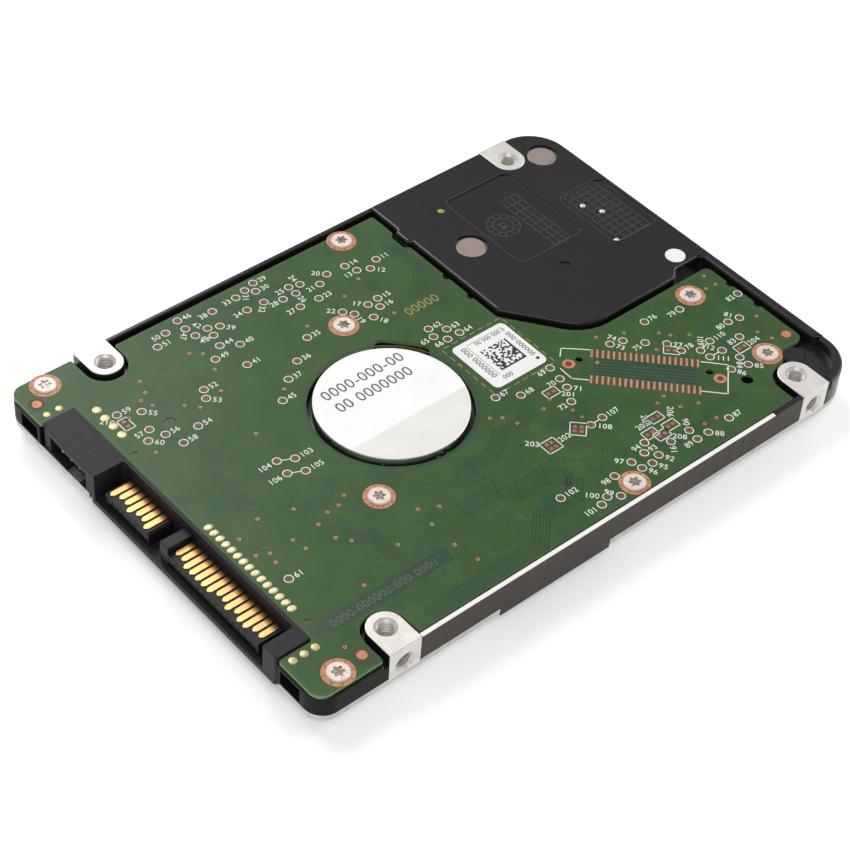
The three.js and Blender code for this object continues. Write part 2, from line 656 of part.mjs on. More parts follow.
// ---------------------------------------------------------------- actuator
const RING_IN = 2.9;
const RING_OUT = 3.6;
const ARM_LENGTH = 22;

function actuatorArm() {
  const eyelet = ring(RING_IN, RING_OUT, ARM_BOTTOM, ARM_TOP, 0, 0, 24);
  const armOutline = outline([[1, -3.2, 0], [ARM_LENGTH, -1.9, 1], [ARM_LENGTH, 1.9, 1], [1, 3.2, 0]]);
  const lower = plate(armOutline, ARM_BOTTOM, ARM_BOTTOM + ARM_SHEET);
  const upper = plate(armOutline, ARM_TOP - ARM_SHEET, ARM_TOP);
  const fingers = [-25.5, 25.5].map((offset) => {
    const finger = block(3.1, 14.6, -0.55, 0.55, ...COIL_PLANE);
    return finger.rotateZ(radians(COIL_ANGLE + offset));
  });
  const window = plate(outline([[8, -1.3, 0.6], [18, -0.9, 0.6], [18, 0.9, 0.6], [8, 1.3, 0.6]]), 0, 6);
  return cut(join(eyelet, lower, upper, ...fingers), disc(RING_IN, 0, 6, 0, 0, 24), window);
}

add("actuator_arm", actuatorArm(), finishes.bareMetal, actuator);

function voiceCoil() {
  const outer = sector(6.4, 14.6, COIL_ANGLE - 20, COIL_ANGLE + 20, ...COIL_PLANE, 5);
  const hole = sector(8.6, 12.4, COIL_ANGLE - 11, COIL_ANGLE + 11, 0, 6, 3);
  return cut(outer, hole);
}

add("voice_coil", voiceCoil(), finishes.copper, actuator);
const pivotSleeve = ring(PIVOT_R + 0.1, RING_IN - FIT, 1.0, 4.0, 0, 0, 20);
add("pivot_bearing", pivotSleeve, finishes.steel, actuator);

// The load beam tapers from the arm to the lift tab past the head.
function loadBeam(z0) {
  const base = outline([
    [16.5, -1.7, 0.4],
    [22.5, -1.7, 0],
    [32.0, -0.75, 0],
    [36.0, -0.3, 0.2],
    [36.0, 0.3, 0.2],
    [32.0, 0.75, 0],
    [22.5, 1.7, 0],
    [16.5, 1.7, 0.4],
  ]);
  return cut(plate(base, z0, z0 + 0.12), disc(0.7, z0 - 1, z0 + 1, 19.2, 0, 12));
}

const BEAM_LOW = ARM_BOTTOM + ARM_SHEET + 0.02;
const BEAM_HIGH = ARM_TOP - ARM_SHEET - 0.14;
const SLIDER = [1.25, 1.0, 0.24];

function slider(z0) {
  const x0 = HEAD_REACH - SLIDER[0] / 2;
  return block(x0, x0 + SLIDER[0], -SLIDER[1] / 2, SLIDER[1] / 2, z0, z0 + SLIDER[2]);
}

add("suspension_lower", loadBeam(BEAM_LOW), finishes.steel, actuator);
add("suspension_upper", loadBeam(BEAM_HIGH), finishes.steel, actuator);
add("slider_lower", slider(BEAM_LOW + 0.14), finishes.slider, actuator);
add("slider_upper", slider(BEAM_HIGH - 0.02 - SLIDER[2]), finishes.slider, actuator);

const pivotProfile = [
  [0, 0.85],
  [PIVOT_R + 0.9, 0.85],
  [PIVOT_R + 0.9, 0.95],
  [PIVOT_R, 0.95],
  [PIVOT_R, 5.55],
  [0, 5.55],
];
add("pivot_shaft", revolve(pivotProfile, 16, PIVOT_X, PIVOT_Y), finishes.steel);
// ---------------------------------------------------------------- voice coil magnets
const POST_ANGLES = [54, 160];
const POST_REACH = 12.3;
const POST_R = 0.9;
const YOKE_LOW = [0.7, 1.3];
const YOKE_HIGH = [5.3, 6.05];

function yokePlate(z0, z1) {
  const body = sector(6.2, 15.6, 58, 149, z0, z1, 8);
  const ears = POST_ANGLES.map((angle) => {
    const [x, y] = polar(POST_REACH, angle);
    return disc(1.35, z0, z1, x, y);
  });
  const webs = [
    sector(POST_REACH - 1.2, POST_REACH + 1.2, POST_ANGLES[0], 60, z0, z1, 2),
    sector(POST_REACH - 1.2, POST_REACH + 1.2, 147, POST_ANGLES[1], z0, z1, 3),
  ];
  return join(body, ...webs, ...ears);
}

function yokeHigh() {
  const posts = POST_ANGLES.map((angle) => {
    const [x, y] = polar(POST_REACH, angle);
    return disc(POST_R, YOKE_LOW[1] + 0.02, YOKE_HIGH[0] + 0.1, x, y);
  });
  return join(yokePlate(...YOKE_HIGH), ...posts).translate(PIVOT_X, PIVOT_Y, 0);
}

add("yoke_lower", yokePlate(...YOKE_LOW).translate(PIVOT_X, PIVOT_Y, 0), finishes.laminate);
add("yoke_upper", yokeHigh(), finishes.laminate);

function coilMagnet(z0, z1) {
  return sector(7.4, 14.8, 66, 146, z0, z1, 7).translate(PIVOT_X, PIVOT_Y, 0);
}

add("magnet_lower", coilMagnet(YOKE_LOW[1] + 0.02, 2.2), finishes.magnet);
add("magnet_upper", coilMagnet(4.2, YOKE_HIGH[0] - 0.02), finishes.magnet);

const [stopX, stopY] = polar(POST_REACH, POST_ANGLES[1]);
const crashStop = ring(POST_R + FIT, 1.3, 2.6, 3.8, PIVOT_X + stopX, PIVOT_Y + stopY, 16);
add("crash_stop", crashStop, finishes.rubber);

// ---------------------------------------------------------------- latch, ramp, filters, flex
function inertiaLatch() {
  const hub = ring(0.85, 1.6, 2.7, 3.7);
  const hook = plate(outline([
    [-1.2, -0.6, 0],
    [-6.4, -1.6, 0.3],
    [-6.8, -3.0, 0.2],
    [-7.6, -2.8, 0.2],
    [-7.2, -0.8, 0.6],
    [-1.2, 0.6, 0],
  ]), 2.8, 3.6);
  const weight = roundedBlock(1.2, 6.4, -0.9, 1.3, 2.8, 3.6, 0.5);
  return join(hub, hook, weight);
}

const latch = new THREE.Group();
latch.position.set(PIVOT_X + LATCH_X, PIVOT_Y + LATCH_Y, 0);
drive.add(latch);
add("inertia_latch", inertiaLatch(), finishes.whitePlastic, latch);

// Heads parked on two sloped rails that straddle the rim of the disk.
const RAMP_X = PIVOT_X + 35.2;
function loadRamp() {
  const foot = roundedBlock(RAMP_X + 0.9, RAMP_X + 4.2, PIVOT_Y - 3.4, PIVOT_Y + 4.4, 0.75, 4.15, 0.4);
  const rails = [[1.3, 1.52], [3.28, 3.5]].map(([z0, z1]) => {
    return roundedBlock(RAMP_X - 0.9, RAMP_X + 1.2, PIVOT_Y - 2.4, PIVOT_Y + 2.4, z0, z1, 0.3);
  });
  const diskRoom = disc(PLATTER_R + 0.5, 1.6, 3.2, 0, SPINDLE_Y, FINE);
  const beamRoom = roundedBlock(RAMP_X - 2, RAMP_X + 1.5, PIVOT_Y - 4.5, PIVOT_Y + 1.2, 1.55, 3.25, 0.2);
  return cut(join(foot, ...rails), diskRoom, beamRoom);
}

add("load_ramp", loadRamp(), finishes.whitePlastic);

const recirculation = roundedBlock(-3.2, 3.2, -0.7, 0.7, 0.75, 4.0, 0.5);
recirculation.rotateZ(radians(-38)).translate(27.6, 24.6, 0);
add("recirculation_filter", recirculation, finishes.filter);

const breatherFilter = roundedBlock(17.4, 25.6, 40.2, 46.6, 0.65, 2.6, 1.2);
add("breather_filter", breatherFilter, finishes.filter);

add("flex_connector", roundedBlock(...HEADER_X, ...HEADER_Y, 2.2, BOARD_BOTTOM - 0.02, 0.3), finishes.plastic);

// The ribbon from the arm's root to the connector, standing on edge.
function actuatorFlex() {
  const path = new THREE.CatmullRomCurve3([
    new THREE.Vector3(PIVOT_X + 3.5, PIVOT_Y + 3.4, 0),
    new THREE.Vector3(PIVOT_X + 6.8, PIVOT_Y + 5.4, 0),
    new THREE.Vector3(PIVOT_X + 11.5, PIVOT_Y + 7.4, 0),
    new THREE.Vector3(PIVOT_X + 17.5, PIVOT_Y + 11.8, 0),
    new THREE.Vector3(PIVOT_X + 22.0, PIVOT_Y + 14.2, 0),
    new THREE.Vector3(HEADER_X[0] - 0.35, (HEADER_Y[0] + HEADER_Y[1]) / 2, 0),
  ]);
  const ahead = [];
  const back = [];
  const STEPS = 14;
  for (let k = 0; k <= STEPS; k += 1) {
    const point = path.getPointAt(k / STEPS);
    const way = path.getTangentAt(k / STEPS);
    ahead.push(new THREE.Vector2(point.x - way.y * 0.08, point.y + way.x * 0.08));
    back.unshift(new THREE.Vector2(point.x + way.y * 0.08, point.y - way.x * 0.08));
  }
  return plate([...ahead, ...back], 1.8, 3.4);
}

add("actuator_flex", actuatorFlex(), finishes.polyimide);

export default drive;
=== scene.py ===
import math
import random

import bmesh
import bpy
from mathutils import Matrix, Vector


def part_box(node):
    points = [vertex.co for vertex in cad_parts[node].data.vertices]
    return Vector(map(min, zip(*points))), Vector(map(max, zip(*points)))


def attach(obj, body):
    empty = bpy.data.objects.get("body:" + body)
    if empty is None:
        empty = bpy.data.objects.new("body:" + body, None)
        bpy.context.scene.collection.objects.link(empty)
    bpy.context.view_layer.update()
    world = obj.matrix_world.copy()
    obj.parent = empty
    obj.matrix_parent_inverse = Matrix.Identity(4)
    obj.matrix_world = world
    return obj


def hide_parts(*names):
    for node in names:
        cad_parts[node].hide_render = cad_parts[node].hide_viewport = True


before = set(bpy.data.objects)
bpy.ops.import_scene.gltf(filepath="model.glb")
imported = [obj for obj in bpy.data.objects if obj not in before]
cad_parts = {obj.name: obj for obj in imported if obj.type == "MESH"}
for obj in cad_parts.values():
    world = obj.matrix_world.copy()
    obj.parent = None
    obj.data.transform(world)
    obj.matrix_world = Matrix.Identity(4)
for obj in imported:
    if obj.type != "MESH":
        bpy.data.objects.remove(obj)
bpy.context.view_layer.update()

MM = 0.001
scene = bpy.context.scene


def span(node):
    """A CAD node's box in millimetres: lowest and highest corner."""
    low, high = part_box(node)
    return low / MM, high / MM


# ------------------------------------------------------------------ sizes, in millimetres
CASE_HIGH = span("base_casting")[1]
COVER_LOW, COVER_HIGH = span("top_cover")
BOARD_LOW, BOARD_HIGH = span("circuit_board")
PLUG_LOW, PLUG_HIGH = span("sata_connector_housing")
MOTOR_LOW, MOTOR_HIGH = span("motor_base")
PLATTER_LOW, PLATTER_HIGH = span("platter")

HALF_W = CASE_HIGH.x
HALF_L = CASE_HIGH.y
TOP = CASE_HIGH.z
DECK = TOP - 0.1
WALL_FOOT = COVER_HIGH.z + 0.05
FLOOR_TOP = BOARD_LOW.z - 0.9
FLOOR_UNDER = FLOOR_TOP - 0.6
DECK_UNDER = DECK - 0.8
FOOT_TOP = WALL_FOOT + 0.5
FLANGE_RISE = 1.25
OVER = 9.0
UNDER = -1.0
AHEAD = -52.0

HOLE_X = 30.86
HOLE_NEAR_Y = -36.1
HOLE_FAR_Y = 40.5
BOSS_R = 2.65
SPINDLE = Vector((0, (PLATTER_LOW.y + PLATTER_HIGH.y) / 2))
MOTOR_R = (MOTOR_HIGH.x - MOTOR_LOW.x) / 2
PIVOT = Vector((-18.6, 22.0))
SERVO_SEAL = Vector((-28.5, 45.6))
WHITE_SEAL = Vector((1.7, 45.2))
PLUG_HALF = PLUG_HIGH.x
PLUG_BACK = PLUG_HIGH.y
PLUG_FRONT = PLUG_LOW.y
PITCH = 1.27
SIGNAL_X = -11.2
POWER_X = 2.8
TONGUE_TOP = 4.28

# ------------------------------------------------------------------ camera
CAMERA_AZIMUTH = math.radians(46.414)
CAMERA_ELEVATION = math.radians(44.68)
CAMERA_ROLL = math.radians(4.302)
CAMERA_DISTANCE = 316.95
CAMERA_TARGET = Vector((3.74, -6.096, 3.5))
CAMERA_LENS = 95.59


def make_camera():
    flat = math.cos(CAMERA_ELEVATION)
    ahead = (math.sin(CAMERA_AZIMUTH) * flat, -math.cos(CAMERA_AZIMUTH) * flat, math.sin(CAMERA_ELEVATION))
    back = Vector(ahead)
    right = (-back).cross(Vector((0, 0, 1))).normalized()
    up = right.cross(-back)
    turned_right = math.cos(CAMERA_ROLL) * right + math.sin(CAMERA_ROLL) * up
    turned_up = -math.sin(CAMERA_ROLL) * right + math.cos(CAMERA_ROLL) * up
    data = bpy.data.cameras.new("camera")
    data.lens = CAMERA_LENS
    data.sensor_width = 36
    data.clip_start = 0.01
    data.clip_end = 10
    camera = bpy.data.objects.new("camera", data)
    scene.collection.objects.link(camera)
    place = (CAMERA_TARGET + back * CAMERA_DISTANCE) * MM
    rows = Matrix((turned_right, turned_up, back)).transposed().to_4x4()
    camera.matrix_world = Matrix.Translation(place) @ rows
    scene.camera = camera


def make_light(name, place, size, power, aim=(0, 0, 0)):
    data = bpy.data.lights.new(name, "AREA")
    data.shape = "RECTANGLE"
    data.size, data.size_y = size
    data.energy = power
    lamp = bpy.data.objects.new(name, data)
    scene.collection.objects.link(lamp)
    lamp.location = place
    lamp.rotation_euler = (Vector(aim) - Vector(place)).to_track_quat("-Z", "Y").to_euler()


def make_studio():
    world = bpy.data.worlds.new("studio")
    world.use_nodes = True
    background = world.node_tree.nodes["Background"]
    background.inputs["Color"].default_value = (1.0, 1.0, 1.0, 1)
    background.inputs["Strength"].default_value = 0.4
    scene.world = world
    make_light("softbox_left", (-0.45, 0.05, 0.45), (0.4, 0.4), 2.2)
    make_light("softbox_back", (0.1, 0.55, 0.4), (0.6, 0.25), 1.6)
    make_light("softbox_front", (0.35, -0.4, 0.55), (0.5, 0.4), 1.2)
    scene.view_settings.view_transform = "Standard"
    scene.view_settings.look = "None"


# ------------------------------------------------------------------ materials
def linear(rgb):
    return tuple((c / 255 / 12.92 if c <= 10 else ((c / 255 + 0.055) / 1.055) ** 2.4) for c in rgb)


class Nodes:
    """A material under construction: short ways to add and join its nodes."""

    def __init__(self, name, metallic=0.0, **constants):
        self.material = bpy.data.materials.new(name)
        self.material.use_nodes = True
        self.tree = self.material.node_tree
        self.shader = self.tree.nodes["Principled BSDF"]
        self.shader.inputs["Metallic"].default_value = metallic
        for socket, value in constants.items():
            self.shader.inputs[socket.replace("_", " ")].default_value = value
        self.place = self.add("ShaderNodeTexCoord").outputs["Object"]

    def add(self, kind, **settings):
        node = self.tree.nodes.new(kind)
        for key, value in settings.items():
            setattr(node, key, value)
        return node

    def join(self, output, node, socket):
        self.tree.links.new(output, node.inputs[socket])

    def scaled(self, scale):
        node = self.add("ShaderNodeMapping")
        node.inputs["Scale"].default_value = scale
        self.join(self.place, node, "Vector")
        return node.outputs["Vector"]

    def noise(self, scale, detail=3.0, rough=0.5, stretch=(1, 1, 1)):
        node = self.add("ShaderNodeTexNoise")
        node.inputs["Scale"].default_value = scale
        node.inputs["Detail"].default_value = detail
        node.inputs["Roughness"].default_value = rough
        self.join(self.scaled(stretch), node, "Vector")
        return node.outputs["Fac"]

    def cells(self, scale):
        node = self.add("ShaderNodeTexVoronoi")
        node.inputs["Scale"].default_value = scale
        self.join(self.scaled((1, 1, 1)), node, "Vector")
        return node.outputs["Distance"]

    def ramp(self, value, stops):
        node = self.add("ShaderNodeValToRGB")
        elements = node.color_ramp.elements
        elements[0].position, elements[0].color = stops[0][0], (*linear(stops[0][1]), 1)
        elements[1].position, elements[1].color = stops[-1][0], (*linear(stops[-1][1]), 1)
        for place, rgb in stops[1:-1]:
            elements.new(place).color = (*linear(rgb), 1)
        self.join(value, node, "Fac")
        return node.outputs["Color"]

    def rough(self, value, low, high):
        node = self.add("ShaderNodeMapRange")
        node.inputs["To Min"].default_value = low
        node.inputs["To Max"].default_value = high
        self.join(value, node, "Value")
        self.join(node.outputs["Result"], self.shader, "Roughness")

    def colour(self, output):
        self.join(output, self.shader, "Base Color")

    def bump(self, value, strength, distance=0.02):
        node = self.add("ShaderNodeBump")
        node.inputs["Strength"].default_value = strength
        node.inputs["Distance"].default_value = distance * MM
        previous = self.shader.inputs["Normal"].links
        if previous:
            self.join(previous[0].from_socket, node, "Normal")
        self.join(value, node, "Height")
        self.join(node.outputs["Normal"], self.shader, "Normal")


def grained(name, dark, light, rough, metallic=0.0, scale=900, bump=0.25, fine=6000, stretch=(1, 1, 1),
            **more):
    """A surface with soft colour variation, uneven gloss and a fine grain."""
    nodes = Nodes(name, metallic, **more)
    cloud = nodes.noise(scale, 4, 0.6, stretch)
    nodes.colour(nodes.ramp(cloud, [(0.3, dark), (0.7, light)]))
    grain = nodes.noise(fine, 3, 0.6, stretch)
    nodes.rough(grain, rough[0], rough[1])
    nodes.bump(grain, bump, 0.01)
    return nodes.material


def board_green():
    nodes = Nodes("board_green", 0.0, Specular_IOR_Level=0.28, Coat_Weight=0.04, Coat_Roughness=0.15)
    cloud = nodes.noise(140, 5, 0.55)
    green = nodes.ramp(cloud, [(0.35, (48, 80, 37)), (0.55, (54, 85, 41)), (0.75, (62, 90, 47))])
    patches = nodes.noise(330, 2, 0.4, (1, 1, 0.01))
    shade = nodes.add("ShaderNodeMix", data_type="RGBA")
    nodes.join(nodes.ramp(patches, [(0.54, (0, 0, 0)), (0.6, (190, 190, 190))]), shade, "Factor")
    nodes.join(green, shade, "A")
    nodes.join(nodes.ramp(cloud, [(0.3, (37, 74, 50)), (0.7, (48, 82, 46))]), shade, "B")
    nodes.colour(shade.outputs["Result"])
    weave = nodes.cells(4200)
    nodes.rough(nodes.noise(2500, 3), 0.34, 0.48)
    nodes.bump(weave, 0.08, 0.01)
    nodes.bump(nodes.noise(600, 2), 0.12, 0.03)
    return nodes.material


def coated_casting():
    nodes = Nodes("casting_black", 0.0, Specular_IOR_Level=0.5)
    cloud = nodes.noise(60, 4, 0.6)
    nodes.colour(nodes.ramp(cloud, [(0.3, (22, 19, 19)), (0.7, (30, 26, 26))]))
    peel = nodes.noise(1500, 3, 0.5)
    nodes.rough(peel, 0.18, 0.3)
    nodes.bump(peel, 0.1, 0.012)
    return nodes.material


def milled_wall():
    nodes = Nodes("casting_side_wall", 0.35)
    streaks = nodes.noise(900, 5, 0.7, (1, 1, 0.04))
    nodes.colour(nodes.ramp(streaks, [(0.3, (44, 37, 34)), (0.5, (56, 48, 44)), (0.72, (72, 63, 58))]))
    nodes.rough(streaks, 0.42, 0.6)
    nodes.bump(streaks, 0.35, 0.015)
    return nodes.material


def machined(name, dark, light, rough=(0.28, 0.42), stretch=(1, 0.05, 1), metallic=0.75):
    nodes = Nodes(name, metallic)
    lines = nodes.noise(4200, 4, 0.65, stretch)
    nodes.colour(nodes.ramp(nodes.noise(500, 3), [(0.3, dark), (0.7, light)]))
    nodes.rough(lines, *rough)
    nodes.bump(lines, 0.25, 0.008)
    return nodes.material


def turned(name, dark, light, rough=(0.18, 0.34), centre=SPINDLE, metallic=0.95):
    """Turned metal: fine rings about an axis along Z."""
    nodes = Nodes(name, metallic)
    mapping = nodes.add("ShaderNodeMapping")
    mapping.inputs["Location"].default_value = (-centre.x * MM, -centre.y * MM, 0)
    nodes.join(nodes.place, mapping, "Vector")
    rings = nodes.add("ShaderNodeTexWave", wave_type="RINGS", rings_direction="Z")
    rings.inputs["Scale"].default_value = 900
    rings.inputs["Distortion"].default_value = 0.6
    nodes.join(mapping.outputs["Vector"], rings, "Vector")
    nodes.colour(nodes.ramp(nodes.noise(300, 4), [(0.3, dark), (0.7, light)]))
    nodes.rough(rings.outputs["Fac"], *rough)
    nodes.bump(rings.outputs["Fac"], 0.12, 0.004)
    return nodes.material


def foil():
    nodes = Nodes("foil_seal", 0.35)
    cloud = nodes.noise(420, 4, 0.6)
    nodes.colour(nodes.ramp(cloud, [(0.35, (138, 128, 120)), (0.52, (150, 140, 133)),
                                    (0.68, (164, 132, 122))]))
    nodes.rough(nodes.noise(3000, 3), 0.38, 0.55)
    nodes.bump(nodes.noise(1800, 4), 0.3, 0.02)
    return nodes.material


def contact_gold():
    """Gold plating, with a painted highlight at the tips and painted shade towards the back wall."""
    nodes = Nodes("gold_plating_painted_light", 0.5)
    split = nodes.add("ShaderNodeSeparateXYZ")
    nodes.join(nodes.place, split, "Vector")
    along = nodes.add("ShaderNodeMapRange")
    along.inputs["From Min"].default_value = -49.0 * MM
    along.inputs["From Max"].default_value = -45.0 * MM
    nodes.join(split.outputs["Y"], along, "Value")
    # painted light: a bright painted highlight at the contact tips, turning to dark painted shade near the
    # plug's back wall
    stops = [(0.0, (252, 216, 146)), (0.6, (246, 202, 128)), (0.76, (168, 116, 60)), (0.9, (54, 34, 20))]
    nodes.colour(nodes.ramp(along.outputs["Result"], stops))
    nodes.rough(nodes.noise(1800, 3), 0.34, 0.46)
    nodes.bump(nodes.noise(2500, 3), 0.06, 0.01)
    return nodes.material


MATERIALS = {
    "casting": coated_casting(),
    "casting_side": grained("casting_side_black", (15, 13, 12), (22, 20, 19), (0.4, 0.55), scale=700,
                            bump=0.3,
                            Specular_IOR_Level=0.14),
    # lighter than the black coating: painted highlight for raised casting marks where they catch light
    "painted_highlight_casting": grained("casting_painted_highlight", (62, 60, 60), (78, 76, 76), (0.3, 0.4),
                            Specular_IOR_Level=0.6),
    "side_wall": milled_wall(),
    "bare": machined("bare_aluminium", (218, 214, 208), (236, 232, 226), metallic=0.5),
    "rim": machined("milled_rim", (236, 233, 228), (248, 246, 242), (0.4, 0.5), metallic=0.15),
    "board": board_green(),
    "board_rim": grained("board_rim_mask", (88, 132, 78), (108, 148, 90), (0.3, 0.45)),
    "slug": grained("mottled_slug", (46, 44, 34), (96, 92, 78), (0.4, 0.6), scale=2600, bump=0.6),
    "trace": grained("board_trace_mask", (30, 62, 46), (40, 72, 50), (0.3, 0.42), scale=300,
                     Specular_IOR_Level=0.35),
    "print": grained("white_board_print", (214, 222, 212), (235, 240, 232), (0.5, 0.65)),
    "gold_print": grained("etched_gold_mark", (132, 126, 66), (152, 142, 78), (0.4, 0.5)),
    "copper": grained("bare_copper_pad", (176, 114, 82), (202, 142, 104), (0.4, 0.55), 0.15, scale=2000),
    "copper_pad": grained("resistor_copper", (132, 92, 62), (164, 122, 88), (0.4, 0.5), 0.2, scale=1500),
    "copper_light": grained("tinned_copper", (170, 130, 94), (196, 154, 118), (0.4, 0.5), 0.2, scale=1500),
    "copper_via": grained("via_copper", (176, 134, 96), (200, 160, 122), (0.4, 0.5), 0.2, scale=1500),
    "red_hole": grained("red_hole", (104, 22, 14), (140, 38, 26), (0.4, 0.55), scale=1500),
    "solder_tin": grained("solder_ring", (214, 206, 176), (238, 232, 208), (0.25, 0.4), 0.4, scale=2600),
    "trace_light": grained("faint_board_mark", (56, 86, 56), (72, 98, 64), (0.3, 0.42), scale=900),
    "strip_digits": grained("strip_digits", (78, 80, 58), (94, 92, 70), (0.3, 0.42), scale=900),
    "motor_label": grained("motor_label_film", (243, 243, 241), (250, 250, 248), (0.4, 0.5), scale=200,
                           bump=0.05),
    "copper_dark": grained("dull_copper", (112, 66, 44), (146, 92, 62), (0.4, 0.55), 0.2, scale=1500),
    "laminate": grained("bare_laminate", (66, 46, 26), (90, 64, 38), (0.5, 0.7), scale=1800),
    "gold": contact_gold(),
    "solder_gold": grained("gold_solder_pad", (176, 160, 104), (226, 214, 168), (0.28, 0.42), 0.4,
                           scale=2600),
    # dark mottled grey for the screw heads' recesses: painted shade inside the recess
    "recess": grained("screw_recess", (70, 64, 60), (186, 176, 168), (0.2, 0.35), 0.5, scale=2600, bump=0.8),
    "brown_hole": grained("via_mouth", (70, 30, 20), (104, 48, 34), (0.5, 0.7), scale=1600),
    "white_label": grained("white_label_film", (232, 232, 230), (239, 239, 237), (0.4, 0.5), scale=200,
                           bump=0.05),
    "ink": grained("black_ink", (26, 26, 28), (40, 40, 42), (0.5, 0.65)),
    "grey_ink": grained("grey_ink", (84, 84, 86), (104, 104, 106), (0.5, 0.65)),
    "clear_film": grained("grey_film", (236, 234, 229), (246, 244, 239), (0.14, 0.22), 0.1, scale=250,
                          bump=0.03),
    "motor": turned("turned_motor_steel", (178, 178, 178), (206, 206, 205)),
    "plug": grained("plug_plastic", (27, 27, 30), (39, 39, 43), (0.42, 0.58), scale=2500, bump=0.3,
                    fine=9000,
                    Specular_IOR_Level=0.28),
    "plug_dark": grained("tongue_plastic", (20, 19, 20), (30, 29, 31), (0.4, 0.55), scale=2500, bump=0.3,
                         Specular_IOR_Level=0.35),
    "screw": grained("plated_screw", (214, 196, 188), (236, 222, 214), (0.4, 0.52), 0.3, scale=1400,
                     bump=0.2),
    "foil": foil(),
    "cover": machined("stamped_cover", (196, 194, 190), (214, 212, 208), (0.3, 0.45), (1, 0.06, 1)),
    "green_paint": grained("green_paint_dot", (120, 140, 60), (150, 168, 84), (0.3, 0.45)),
    "rubber": grained("gasket_rubber", (22, 22, 23), (34, 34, 35), (0.7, 0.9)),
    "chip": grained("chip_epoxy", (30, 31, 33), (42, 43, 45), (0.5, 0.65), bump=0.4),
    "steel": turned("ground_steel", (160, 162, 165), (186, 188, 190)),
    "bronze": grained("sintered_bronze", (150, 104, 62), (178, 128, 80), (0.4, 0.6), 0.8, bump=0.5),
    "lamination": grained("nickel_lamination", (132, 134, 138), (156, 158, 162), (0.3, 0.5), 0.85),
    "wire": grained("enamelled_copper", (168, 84, 44), (200, 110, 62), (0.28, 0.45), 0.7, fine=9000,
                    bump=0.6),
    "polyimide": grained("amber_film", (104, 62, 22), (136, 84, 32), (0.25, 0.4), scale=700),
    "aluminium": grained("machined_aluminium", (196, 197, 198), (218, 219, 220), (0.25, 0.4), 0.9),
    "turned_aluminium": turned("turned_aluminium", (190, 191, 192), (222, 223, 224), (0.22, 0.38)),
    "magnet": grained("nickel_plating", (178, 180, 184), (200, 202, 206), (0.15, 0.28), 0.95, bump=0.15),
    "platter": turned("disk_mirror", (206, 208, 212), (216, 218, 222), (0.04, 0.08)),
    "ivory": grained("ivory_plastic", (214, 204, 180), (228, 218, 196), (0.4, 0.55)),
    "ceramic": grained("slider_ceramic", (40, 40, 43), (56, 56, 60), (0.2, 0.32)),
    "fleece": grained("filter_fleece", (214, 214, 208), (238, 238, 234), (0.85, 1.0), fine=3500, bump=0.9),
}

# ------------------------------------------------------------------ meshes
def rounded(corners, quarter=8):
    """A closed outline from corners (x, y, fillet radius), with each fillet as an arc."""
    points = []
    for i, (x, y, radius) in enumerate(corners):
        corner = Vector((x, y))
        if radius == 0:
            points.append(tuple(corner))
            continue
        back = (Vector(corners[i - 1][:2]) - corner).normalized()
        ahead = (Vector(corners[(i + 1) % len(corners)][:2]) - corner).normalized()
        half = math.acos(max(-1, min(1, back.dot(ahead)))) / 2
        centre = corner + (back + ahead).normalized() * radius / math.sin(half)
        tangent = radius / math.tan(half)
        first = corner + back * tangent - centre
        last = corner + ahead * tangent - centre
        start = math.atan2(first.y, first.x)
        sweep = (math.atan2(last.y, last.x) - start + math.pi) % (2 * math.pi) - math.pi
        steps = max(1, math.ceil(abs(sweep) / (math.pi / 2) * quarter))
        for k in range(steps + 1):
            angle = start + sweep * k / steps
            points.append(around(*centre, radius, angle))
    return points


def rectangle(x0, x1, y0, y1, radius=0.0):
    return rounded([(x0, y0, radius), (x1, y0, radius), (x1, y1, radius), (x0, y1, radius)])


def around(x, y, radius, angle):
    """The point on a circle at an angle in radians."""
    return x + radius * math.cos(angle), y + radius * math.sin(angle)


def circle(x, y, radius, sides=48):
    return [around(x, y, radius, 2 * math.pi * k / sides) for k in range(sides)]


def placed(x, y, turn, a, b=0.0):
    """Where the point (a, b) lands when it is turned by so many degrees and then moved to x, y."""
    c, s = math.cos(math.radians(turn)), math.sin(math.radians(turn))
    return x + a * c - b * s, y + a * s + b * c


def as_object(name, mesh):
    piece = bpy.data.objects.new(name, mesh)
    scene.collection.objects.link(piece)
    return piece


def plate(outline, z0, z1, holes=(), edge=0.06, steps=2):
    """A flat solid between two heights, with rounded edges. Everything is in millimetres."""
    curve = bpy.data.curves.new("plate", "CURVE")
    curve.dimensions = "2D"
    curve.fill_mode = "BOTH"
    curve.extrude = (z1 - z0) / 2 - edge
    curve.bevel_depth = edge
    curve.offset = -edge
    curve.bevel_resolution = steps
    for loop in (outline, *holes):
        spline = curve.splines.new("POLY")
        spline.points.add(len(loop) - 1)
        spline.use_cyclic_u = True
        for point, (x, y) in zip(spline.points, loop):
            point.co = (x, y, 0, 1)
    holder = as_object("plate", curve)
    graph = bpy.context.evaluated_depsgraph_get()
    mesh = bpy.data.meshes.new_from_object(holder.evaluated_get(graph))
    bpy.data.objects.remove(holder)
    mesh.transform(Matrix.Translation((0, 0, (z0 + z1) / 2)))
    work = bmesh.new()
    work.from_mesh(mesh)
    bmesh.ops.remove_doubles(work, verts=work.verts, dist=1e-4)
    bmesh.ops.dissolve_degenerate(work, dist=1e-4, edges=work.edges)
    bmesh.ops.recalc_face_normals(work, faces=work.faces)
    work.to_mesh(mesh)
    work.free()
    return mesh


